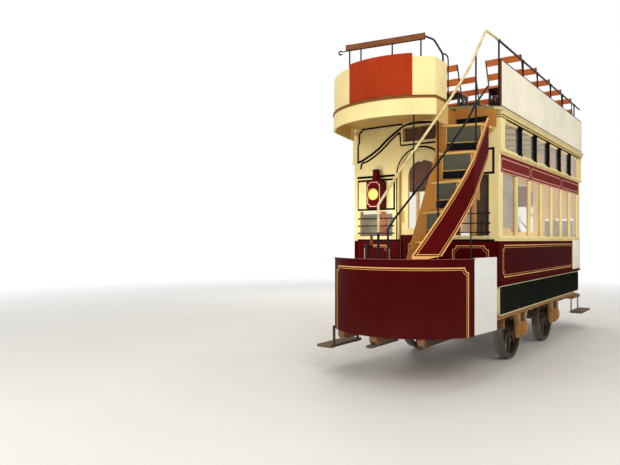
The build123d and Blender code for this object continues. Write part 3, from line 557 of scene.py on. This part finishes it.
dress(plainWood("benchSlats", shade(178, 108, 58), shade(116, 62, 32), varnish, (0.052, 0.006)), "saloon_benches")

# wood lies above the seats' iron ends and between the backs' iron arms
seatLook = {"leftFoot": 3.4405, "rightFoot": 3.4608, "leftBack": (-0.876, -0.454), "rightBack": (-0.066, 0.876),
            "leftBacks": range(1, 6), "rightBacks": range(6, 11)}
for side in ("left", "right"):
    seat = mixedFinish(side + "Seats", lambda x, y, z: more(z, seatLook[side + "Foot"]), slatWoods, "y")
    back = mixedFinish(side + "Backs", lambda x, y, z: between(y, *seatLook[side + "Back"]), slatWoods, "y")
    dress(seat, side + "_seat_frames")
    dress(back, *(f"seat_back_{number}" for number in seatLook[side + "Backs"]))

blackIron = plainPaint("blackIron", paints["iron"], ironPaint)
dress(blackIron, "stair_mid_rails", "deck_rails", "window_guard_bars", "brake_gear", "draw_plates")
dress(lightFrameFinish(), "upper_light_frames")
dress(handrailFinish(), "stair_top_rails")

# wooden grip of the brake's crank, and wooden plank over the landing
gripLook = {"farthest": 2.905, "foot": 1.472}
plankLook = {"foot": 3.5581, "end": -0.452}
grip = mixedFinish("brakeColumn", lambda x, y, z: both(
    less(sizeOf(x), gripLook["farthest"]), more(z, gripLook["foot"])), railWoods, "z")
plankFinish = mixedFinish("landingRails", lambda x, y, z: both(
    more(z, plankLook["foot"]), more(turned(x, y), plankLook["end"])), railWoods, "y")
dress(grip, "brake_columns")
dress(plankFinish, "landing_rails")

dress(lampFinish(), "lamp_boxes")
dress(plainPaint("lobedRubber", paints["rubber"], rubber), "springs")
dress(wheelFinish("frontWheels", -wheelLook["x"]), "front_wheelset")
dress(wheelFinish("rearWheels", wheelLook["x"]), "rear_wheelset")
clearGlass = glassFinish("clearGlass", shade(250, 250, 244))
dress(clearGlass, "side_window_glass", "upper_light_glass", "bulkhead_glass", *ends("door_glass"))
print("finishes laid on the frame")


# pieces made here
def deselect():
    if bpy.context.object and bpy.context.object.mode != "OBJECT":
        bpy.ops.object.mode_set(mode="OBJECT")
    bpy.ops.object.select_all(action="DESELECT")


def choose(piece):
    deselect()
    piece.select_set(True)
    bpy.context.view_layer.objects.active = piece


def named(name):      # the object that was just made
    piece = bpy.context.object
    piece.name = piece.data.name = name
    return piece


def settle(piece):      # its place goes into its mesh
    choose(piece)
    bpy.ops.object.transform_apply(location=True, rotation=True, scale=True)


def pickFaces(piece, wanted):
    picked = bmesh.from_edit_mesh(piece.data)
    for face in picked.faces:
        face.select = wanted(face)
    picked.select_flush_mode()
    bmesh.update_edit_mesh(piece.data)


def sliceActive(point, normal, **sides):
    bpy.ops.object.mode_set(mode="EDIT")
    bpy.ops.mesh.select_all(action="SELECT")
    bpy.ops.mesh.bisect(plane_co=point, plane_no=normal, **sides)
    bpy.ops.object.mode_set(mode="OBJECT")


def startBoard(name, size):
    deselect()
    bpy.ops.mesh.primitive_cube_add(size=1)
    piece = named(name)
    piece.scale = size
    settle(piece)
    return piece


def softEdges(piece, width):
    bevel = piece.modifiers.new("edges", "BEVEL")
    bevel.width, bevel.segments, bevel.limit_method = width, 2, "ANGLE"
    choose(piece)
    bpy.ops.object.modifier_apply(modifier="edges")
    bpy.ops.object.shade_smooth_by_angle(angle=radians(40))


def move(piece, matrix):
    piece.matrix_world = matrix @ piece.matrix_world
    settle(piece)


def setDown(piece, spot, angle=0.0, axis="Z"):
    move(piece, Matrix.Translation(spot) @ Matrix.Rotation(angle, 4, axis))


def copyOf(piece, name, matrix):
    twin = piece.copy()
    twin.data = piece.data.copy()
    twin.name = twin.data.name = name
    bpy.context.collection.objects.link(twin)
    move(twin, matrix)
    return twin


halfTurn = Matrix.Rotation(pi, 4, "Z")


def fit(piece, material, body="car_body"):
    piece.data.materials.clear()
    piece.data.materials.append(material)
    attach(piece, body)


def fitBothEnds(piece, material):
    fit(piece, material)
    fit(copyOf(piece, piece.name + ".rear", halfTurn), material)


def joined(pieces, name):
    deselect()
    for piece in pieces:
        piece.select_set(True)
    bpy.context.view_layer.objects.active = pieces[0]
    bpy.ops.object.join()
    return named(name)


def bead(name, points, radius):
    curve = bpy.data.curves.new(name, "CURVE")
    curve.dimensions = "3D"
    curve.bevel_depth, curve.bevel_resolution, curve.use_fill_caps = radius, 2, True
    line = curve.splines.new("POLY")
    line.points.add(len(points) - 1)
    for point, place in zip(line.points, points):
        point.co = (*place, 1)
    piece = bpy.data.objects.new(name, curve)
    bpy.context.collection.objects.link(piece)
    choose(piece)
    bpy.ops.object.convert(target="MESH")
    bpy.ops.object.shade_smooth_by_angle(angle=radians(50))
    return bpy.context.object


def smoothLine(points, steps=6):      # a curve through given points
    made = []
    for i in range(len(points) - 1):
        a, b = points[max(i - 1, 0)], points[i]
        c, d = points[i + 1], points[min(i + 2, len(points) - 1)]
        for step in range(steps):
            t = step / steps
            made.append(tuple(0.5 * (2 * q + (r - p) * t + (2 * p - 5 * q + 4 * r - s) * t * t
                                     + (3 * q - p - 3 * r + s) * t ** 3) for p, q, r, s in zip(a, b, c, d)))
    return made + [points[-1]]


def edgePoint(run, inset):      # a point inside the platform's edge, by the edge's length from the centre line
    radius, angle = bow["radius"] - inset, run / bow["radius"]
    if degrees(angle) <= bow["turn"]:
        return bow["x"] - radius * cos(angle), -radius * sin(angle)
    part = (run - straight["startRun"]) / straight["length"]
    return [straight["start"][i] + straight["step"][i] * part + straight["inward"][i] * inset for i in (0, 1)]


# blank plates on the risers, with a light line round them and a black strip below
plates = {"steps": [3, 4, 5, 6], "firstRun": 0.08, "stepRun": 0.215, "below": 0.027, "thick": 0.006, "height": 0.160,
          "inner": [(-2.56, -0.02), (-2.585, -0.12), (-2.61, -0.22), (-2.635, -0.32), (-2.66, -0.42), (-2.6, -0.456),
                    (-2.5, -0.456)],
          "aimInset": -0.06, "endInset": 0.018, "margin": 0.05, "endMargin": 0.035, "border": (0.006, 0.0015),
          "edgeWider": 0.012, "edgeHigher": 0.008, "edgeThick": 0.6, "edgeBorder": (0.003, 0),
          "stripHeight": 0.075, "stripGap": 0.012}
topStrip = {"size": (0.36, 0.006, 0.057), "place": (-2.1225, -0.645, 2.843), "border": (0.005, 0.001)}


def framedPlate(name, size, border, sunk):
    piece = startBoard(name, size)
    bpy.ops.object.mode_set(mode="EDIT")
    pickFaces(piece, lambda face: face.normal.y < -0.9)
    bpy.ops.mesh.inset(thickness=border, depth=-sunk)
    bpy.ops.object.mode_set(mode="OBJECT")
    softEdges(piece, min(size[1] * 0.25, 0.002))
    return piece


def plateFinish(name, ground, line):
    material, place = startFinish(name)
    fleck = ramp(noise(place, 38, 4, 0.7), 0.58, 0.7, 0, 0.35)
    return endFinish(material, place, over(ground, fleck, line), housePaint)


slatePlate = plateFinish("blankPlate", paints["slate"], shade(108, 106, 90))
blackStrip = plateFinish("blackStrip", paints["black"], shade(44, 42, 40))
plateEdge = plateFinish("plateEdge", paints["yellowLine"], shade(184, 166, 92))
for step in plates["steps"]:
    start = Vector(plates["inner"][step])
    run = plates["firstRun"] + plates["stepRun"] * step
    way = (Vector(edgePoint(run, plates["aimInset"])) - start).normalized()
    width = (Vector(edgePoint(run, plates["endInset"])) - start).length - plates["margin"] - plates["endMargin"]
    thick, height = plates["thick"], plates["height"]
    middle = start + way * (plates["margin"] + width / 2) + Vector((way.y, -way.x)) * thick / 2
    top = stair["foot"] + stair["rise"] * (step + 1) - plates["below"]
    level = top - height / 2
    stripLevel = top - height - plates["stripGap"] - plates["stripHeight"] / 2
    edgeSize = (width + plates["edgeWider"], thick * plates["edgeThick"], height + plates["edgeHigher"])
    for name, size, border, z, material in (
            ("riserPlate", (width, thick, height), plates["border"], level, slatePlate),
            ("riserPlateEdge", edgeSize, plates["edgeBorder"], level, plateEdge),
            ("riserStrip", (width, thick, plates["stripHeight"]), plates["border"], stripLevel, blackStrip)):
        piece = framedPlate(f"{name}.{step}", size, *border)
        setDown(piece, (*middle, z), atan2(way.y, way.x))
        fitBothEnds(piece, material)
piece = framedPlate("riserStrip.top", topStrip["size"], *topStrip["border"])
setDown(piece, topStrip["place"], -pi / 2)
fitBothEnds(piece, blackStrip)
print("riser plates made")

# painted lines of the saloon ends, raised a little as the brush left them
endLines = {
    "x": -bodyEnd - 0.0004, "thick": 0.0145, "thin": 0.0115,
    "ogee": [(0.872, 2.503), (0.815, 2.514), (0.727, 2.556), (0.641, 2.6), (0.556, 2.656), (0.472, 2.728),
             (0.39, 2.788), (0.308, 2.84), (0.228, 2.886), (0.16, 2.906), (0.082, 2.912), (-0.016, 2.908),
             (-0.125, 2.895), (-0.235, 2.873)],
    "ogeeFoot": [(0.823, 2.414), (0.815, 2.455), (0.795, 2.49), (0.727, 2.506), (0.641, 2.55), (0.556, 2.604),
                 (0.472, 2.67), (0.39, 2.742), (0.308, 2.799), (0.275, 2.82)],
    "fanlight": [(0.275, 2.82), (0.262, 2.66), (-0.235, 2.66)],
    "outline": [(0.862, 2.52), (0.862, 2.715), (0.845, 2.746), (0.845, 2.86), (0.82, 2.88), (0.785, 2.912),
                (0.5, 2.916), (0.235, 2.916)],
    "belt": [(0.868, 2.307), (0.345, 2.307)],
}
blackLine = plainPaint("blackLine", paints["black"], coachPaint)
for name, bendy, radius in (("ogee", True, "thick"), ("ogeeFoot", True, "thin"), ("fanlight", False, "thin"),
                            ("outline", False, "thin"), ("belt", False, "thick")):
    points = [(endLines["x"], y, z) for y, z in endLines[name]]
    piece = bead("endLine." + name, smoothLine(points) if bendy else points, endLines[radius])
    fitBothEnds(piece, blackLine)
print("end lines made")


# rivets and coach bolts: one dome, copied along each row
def domeHead(name, radius, high=0.45, rounds=10):
    deselect()
    bpy.ops.mesh.primitive_uv_sphere_add(segments=rounds, ring_count=rounds // 2 + 1, radius=radius)
    piece = named(name)
    sliceActive((0, 0, -radius * 0.2), (0, 0, 1), clear_inner=True, use_fill=True)
    piece.scale = (1, 1, high)
    settle(piece)
    bpy.ops.object.shade_smooth_by_angle(angle=radians(60))
    return piece


def studRow(name, places, radius):      # each place is a point and the way its head faces
    seed = domeHead(name + ".seed", radius)
    heads = []
    for i, (spot, facing) in enumerate(places):
        turn = Vector(facing).to_track_quat("Z", "Y").to_matrix().to_4x4()
        heads.append(copyOf(seed, f"{name}.{i}", Matrix.Translation(spot) @ turn))
    bpy.data.objects.remove(seed)
    return joined(heads, name)


def onBow(angle, radius, z):
    a = radians(angle)
    return (bow["x"] - radius * cos(a), radius * sin(a), z), (-cos(a), sin(a), 0)


studs = {"sheetAngle": -28.6, "sheetRadius": 0.874, "sheetLevels": [2.99 + 0.045 * i for i in range(8)],
         "dashLevel": 0.575, "dashAngles": [-68 + 12.2 * i for i in range(10)],
         "boardXs": (-1.95, -1.3, -0.65, 0, 0.65, 1.3, 1.9), "boardLevels": (0.735, 0.975), "boardFace": -0.9101,
         "lidFace": -0.866, "lidRadius": 0.052, "lidAngles": (pi / 4, 3 * pi / 4, 5 * pi / 4, 7 * pi / 4),
         "sheetHead": 0.007, "dashHead": 0.008, "boltHead": 0.009}
sideways = (0, -1, 0)
creamStud = plainPaint("creamStud", paints["cream"], coachPaint)
maroonStud = plainPaint("maroonStud", paints["maroon"], coachPaint)
ochreStud = plainPaint("ochreStud", paints["ochre"], workPaint)
sheetRivets = [onBow(studs["sheetAngle"], studs["sheetRadius"], z) for z in studs["sheetLevels"]]
dashRivets = [onBow(angle, bow["radius"], studs["dashLevel"]) for angle in studs["dashAngles"]]
boardBolts = [((x, studs["boardFace"], z), sideways) for x in studs["boardXs"] for z in studs["boardLevels"]]
lidBolts = [((x + studs["lidRadius"] * cos(a), studs["lidFace"], wheelLook["z"] + studs["lidRadius"] * sin(a)), sideways)
            for x in (-wheelLook["x"], wheelLook["x"]) for a in studs["lidAngles"]]
for name, row, head, material in (
        ("sheetRivets", sheetRivets, "sheetHead", creamStud), ("dashRivets", dashRivets, "dashHead", maroonStud),
        ("rockerBolts", boardBolts, "boltHead", blackIron), ("lidBolts", lidBolts, "boltHead", ochreStud)):
    fitBothEnds(studRow(name, row, studs[head]), material)
print("rivets and bolts set")

# bulging lens of the platform lamp, ribbed round its middle
lens = domeHead("lampLens", lampLook["lens"]["radius"], lampLook["lens"]["high"], 40)
setDown(lens, (lampLook["lens"]["x"], lampLook["across"], lampLook["z"]), -pi / 2, "Y")


def lensFinish():
    material, place = startFinish("lampLens")
    away, across, z = endwise(place)
    distance = fromLamp(across, z)
    colour = over(paints["lens"], ramp(distance, 0.03, 0.06, 0, 0.5), shade(226, 170, 60))
    return endFinish(material, place, colour, lensGlass, calc("SINE", times(distance, lampLook["ribs"])))


fitBothEnds(lens, lensFinish())


# blinds and curtains inside the glass: waves that are fuller at the foot, or a hung cloth that sags a little
curtains = {"thick": 0.0016, "sag": 0.0015, "topDepth": 0.55}


def hangCloth(name, across, levels, depth, waves, held):      # made in the YZ plane, folds stand out along X
    deselect()
    bpy.ops.mesh.primitive_grid_add(x_subdivisions=max(4, 14 * waves), y_subdivisions=8, size=1)
    cloth = named(name)
    width, high = across[1] - across[0], levels[1] - levels[0]
    for vertex in cloth.data.vertices:
        u, v = vertex.co.x + 0.5, vertex.co.y + 0.5
        loose = curtains["topDepth"] + (1 - curtains["topDepth"]) * (1 - v)
        fold = depth * loose * sin(2 * pi * waves * u + 0.7 * sin(5 * u)) if waves else curtains["sag"] * sin(pi * v)
        vertex.co = (fold, across[0] + width * u, levels[0] + high * v)
    area = sum(face.area for face in cloth.data.polygons)
    wall = cloth.modifiers.new("thickness", "SOLIDIFY")
    wall.thickness = curtains["thick"]
    bpy.ops.object.modifier_apply(modifier="thickness")
    bpy.ops.object.mode_set(mode="EDIT")
    bpy.ops.mesh.select_all(action="SELECT")
    bpy.ops.mesh.normals_make_consistent(inside=False)
    bpy.ops.object.mode_set(mode="OBJECT")
    bpy.ops.object.shade_smooth_by_angle(angle=radians(50))
    return cloth, (area / high, high), held


def clothFinish(name, colour, darker):
    material, place = startFinish(name)
    weave = newNode(place, "TexWave")
    weave.bands_direction = "Z"
    wired(weave, Vector=place, Scale=260)
    blotch = ramp(noise(place, 5, 4), 0.35, 0.7, 0, 0.8)
    cloth = {"roughness": 0.85, "coat": 0, "dust": 0, "bump": 0.35}
    return endFinish(material, place, over(colour, blotch, darker), cloth, weave.outputs["Fac"])


def placeCloth(made, spot, angle, material, bodies):
    cloth, flat, held = made
    setDown(cloth, spot, angle)
    rear = copyOf(cloth, cloth.name + ".rear", halfTurn)
    for piece, body in ((cloth, bodies[0]), (rear, bodies[1])):
        fit(piece, material, body)


brownCloth = clothFinish("brownCloth", paints["curtain"], shade(82, 44, 28))
darkCloth = clothFinish("darkCloth", shade(78, 54, 38), shade(52, 36, 26))
rustCloth = clothFinish("rustCloth", shade(178, 88, 44), shade(130, 60, 32))
# grey-brown cloth of the small window's blind; its dark colour is painted shade for the dim saloon seen through that
# window
shadeStandInCloth = clothFinish("shadeStandInCloth", shade(132, 120, 98), shade(92, 84, 72))
greyCloth = clothFinish("greyCloth", paints["blind"], shade(148, 136, 118))
atBulkhead, inReveal, behindReveal, atDoor = (-2.003, 0, 0), (-2.0245, 0, 0), (-2.016, 0, 0), (-1.9765, 0, 0)
atSide = (-1.6586, -0.868, 0)
carBody, doorLeaves = ("car_body", "car_body"), ("front_door_leaf", "rear_door_leaf")
for *cloth, spot, angle, material, bodies in (
        ("tallCurtainOuter", (-0.808, -0.69), (1.575, 2.25), 0.008, 4, "gathered", atBulkhead, 0, darkCloth, carBody),
        ("tallCurtainInner", (-0.46, -0.345), (1.575, 2.25), 0.008, 3, "gathered", atBulkhead, 0, brownCloth, carBody),
        ("smallCurtain", (0.475, 0.548), (1.575, 1.872), 0.0045, 3, "gathered", inReveal, 0, rustCloth, carBody),
        # the small blind's grey-brown stands in as painted shade for the dim saloon behind it
        ("smallBlind", (0.376, 0.824), (1.572, 1.846), 0, 0, "hung", behindReveal, 0, shadeStandInCloth, carBody),
        ("fanlightCloth", (-0.20, 0.23), (2.702, 2.864), 0.006, 9, "gathered", atBulkhead, 0, brownCloth, carBody),
        ("doorBlind", (-0.185, 0.185), (2.10, 2.46), 0, 0, "hung", atDoor, 0, brownCloth, doorLeaves),
        ("sideBlind", (-0.245, 0.245), (1.66, 2.262), 0, 0, "hung", atSide, pi / 2, greyCloth, carBody)):
    placeCloth(hangCloth(*cloth), spot, angle, material, bodies)
print("blinds and curtains hung")

# blank red board bent round the landing's sheet
redLook = {"angles": (-27.1, 20.6), "radius": 0.8745, "levels": (2.963, 3.378), "thick": 0.005, "edge": 0.0015}
low, high = redLook["levels"]
deselect()
bpy.ops.mesh.primitive_cylinder_add(vertices=180, radius=redLook["radius"], depth=high - low, end_fill_type="NOTHING",
                                    location=(bow["x"], 0, (low + high) / 2))
redBoard = named("redBoard")
for angle, side in zip(redLook["angles"], (1, -1)):
    sliceActive((bow["x"], 0, 0), (side * sin(radians(angle)), side * cos(radians(angle)), 0), clear_inner=True)
wall = redBoard.modifiers.new("thickness", "SOLIDIFY")
wall.thickness, wall.offset = redLook["thick"], 1
bpy.ops.object.modifier_apply(modifier="thickness")
settle(redBoard)
softEdges(redBoard, redLook["edge"])


def redFinish():
    material, place = startFinish("redBoard")
    streak = ramp(noise(stretched(place, (9, 9, 1.5)), 3, 4), 0.35, 0.75, 0, 0.35)
    return endFinish(material, place, over(paints["red"], streak, shade(140, 44, 20)), housePaint)


fitBothEnds(redBoard, redFinish())

# bent iron stay down the end of the sheet beside the stair
stay = {"radius": 0.0075, "line": [(-2.668, -0.5925, 2.962), (-2.668, -0.5925, 3.2), (-2.668, -0.5925, 3.38),
                                   (-2.677, -0.581, 3.428), (-2.697, -0.556, 3.445)]}
fitBothEnds(bead("sheetStay", smoothLine(stay["line"]), stay["radius"]), blackIron)

# iron strap under the landing's plank, ending in a ring
plank = {"a": Vector((-3.0642, 0.4018)), "b": Vector((-2.9192, -0.4532)), "low": 3.558}
strap = {"beyond": 0.05, "width": 0.016, "thick": 0.006, "edge": 0.0012, "ring": 0.02, "ringDrop": 0.012,
         "ringGap": 0.6, "ringAngles": range(30, 331, 20), "ringBead": 0.0078}
along = (plank["b"] - plank["a"]).normalized()
length = (plank["b"] - plank["a"]).length + strap["beyond"]
middle = plank["b"] - along * length / 2
band = startBoard("plankStrap", (length, strap["width"], strap["thick"]))
softEdges(band, strap["edge"])
setDown(band, (*middle, plank["low"] - strap["thick"] / 2), atan2(along.y, along.x))
fitBothEnds(band, blackIron)
size = strap["ring"]
centre = plank["b"] - along * (length + size * strap["ringGap"])
ring = [(*(centre + along * cos(radians(a)) * size), plank["low"] - strap["ringDrop"] + sin(radians(a)) * size)
        for a in strap["ringAngles"]]
fitBothEnds(bead("strapRing", ring, strap["ringBead"]), blackIron)
print("red board, stay and strap made")

# small cream bumps under the dark pillars of the upper lights
bumps = {"y": -0.9535, "z": 2.503, "radius": 0.036, "thick": 0.012, "edge": 0.003}
deselect()
bpy.ops.mesh.primitive_cylinder_add(vertices=28, radius=bumps["radius"], depth=bumps["thick"])
bump = bpy.context.object
sliceActive((0, 0, 0), (0, 1, 0), clear_outer=True, use_fill=True)
softEdges(bump, bumps["edge"])
creamPaint = plainPaint("creamPaint", paints["cream"], coachPaint)
upright = Matrix.Rotation(pi / 2, 4, "X")
row = [copyOf(bump, f"bump.{i}", Matrix.Translation((pillars["apart"] * i, bumps["y"], bumps["z"])) @ upright)
       for i in range(-2, 3)]
bpy.data.objects.remove(bump)
fitBothEnds(joined(row, "pillarBumps"), creamPaint)

# blank white board at the far end of the waist
farBoard = {"size": (0.52, 0.012, 0.46), "place": (1.79, -0.921, 1.292), "border": (0.008, 0.001)}
piece = framedPlate("whiteBoard", farBoard["size"], *farBoard["border"])
setDown(piece, farBoard["place"])
fitBothEnds(piece, plainPaint("whiteBoardPaint", paints["white"], housePaint))

# board that closes the gap between platform and underframe
kick = {"size": (0.02, 1.6, 0.079), "place": (-2.0466, 0, 0.5782), "edge": 0.003}
piece = startBoard("kickBoard", kick["size"])
softEdges(piece, kick["edge"])
setDown(piece, kick["place"])
fitBothEnds(piece, ochreStud)

# sunk pull of the sliding door
pullLook = {"size": (0.034, 0.008, 0.15), "place": (-2.0075, 0.259, 1.808), "border": (0.008, 0.005)}
pull = framedPlate("doorPull", pullLook["size"], *pullLook["border"])
setDown(pull, pullLook["place"], -pi / 2)
brass = plainPaint("wornBrass", paints["brass"], varnish)
rearPull = copyOf(pull, "doorPull.rear", halfTurn)
fit(pull, brass, doorLeaves[0])
fit(rearPull, brass, doorLeaves[1])
print("small fittings made")

# stage: pale floor that fades out, soft lamps, white surroundings
deselect()
bpy.ops.mesh.primitive_plane_add(size=90)
floor = bpy.context.object
floor.name = "paleFloor"
floorPaint, place = startFinish("paleFloor")
distance = newNode(place, "VectorMath")
distance.operation = "LENGTH"
give(distance.inputs[0], place)
patches = ramp(noise(place, 0.8, 4), 0.3, 0.7, 0, 0.3)
shaderOf(floorPaint, Base_Color=over(shade(226, 225, 222), patches, shade(214, 213, 210)), Roughness=0.6,
         Alpha=ramp(distance.outputs["Value"], 5.5, 15, 1, 0))
floor.data.materials.append(floorPaint)

world = bpy.data.worlds.new("studio")
bpy.context.scene.world = world
world.use_nodes = True
background = world.node_tree.nodes["Background"]
rays = world.node_tree.nodes.new("ShaderNodeLightPath").outputs
seen = either(rays["Is Camera Ray"], either(rays["Is Glossy Ray"], rays["Is Transmission Ray"]))
wired(background, Color=over((1, 0.965, 0.91, 1), seen, (1, 1, 1, 1)), Strength=ramp(seen, 0, 1, 0.55, 1.0))

lamps = [("key", (-7.5, -6.5, 6.5), (0, 0, 1.6), 5.0, 425), ("front", (-9.0, 2.5, 3.5), (0, 0, 1.6), 4.0, 150),
         ("top", (0.5, 0.0, 9.0), (0, 0, 1.6), 7.0, 280), ("back", (6.0, 7.0, 5.0), (0, 0, 1.6), 4.0, 200),
         ("saloonFront", (-1.2, 0.0, 1.3), (-1.2, 0, 3), 0.7, 16), ("saloonMiddle", (0.0, 0.0, 1.3), (0, 0, 3), 0.7, 16),
         ("saloonRear", (1.2, 0.0, 1.3), (1.2, 0, 3), 0.7, 16),
         ("platformFront", (-2.95, 0.55, 1.75), (-2.05, 0.52, 1.9), 0.5, 1.7),
         ("platformRear", (2.95, -0.55, 1.75), (2.05, -0.52, 1.9), 0.5, 1.7)]
for name, spot, target, size, power in lamps:
    deselect()
    bpy.ops.object.light_add(type="AREA", location=spot)
    lamp = bpy.context.object
    lamp.name = "lamp." + name
    lamp.data.size, lamp.data.energy = size, power
    lamp.data.spread = radians(70 if name.startswith("platform") else 180)
    lamp.data.color = (1, 0.93, 0.82) if name.startswith("saloon") else (1, 0.975, 0.93)
    lamp.visible_camera = lamp.visible_glossy = lamp.visible_transmission = False
    lamp.rotation_euler = (Vector(target) - Vector(spot)).to_track_quat("-Z", "Y").to_euler()

bpy.context.scene.view_settings.view_transform = "Standard"
camera = {"place": (-8.2977, -2.9458, 1.523), "turn": -53.8168, "lens": 33.404, "shift": 0.0121, "sensor": 36}
deselect()
bpy.ops.object.camera_add(location=camera["place"], rotation=(pi / 2, 0, radians(camera["turn"])))
eye = bpy.context.object
eye.data.lens, eye.data.shift_y, eye.data.sensor_width = camera["lens"], camera["shift"], camera["sensor"]
bpy.context.scene.camera = eye

print("stage and camera set")
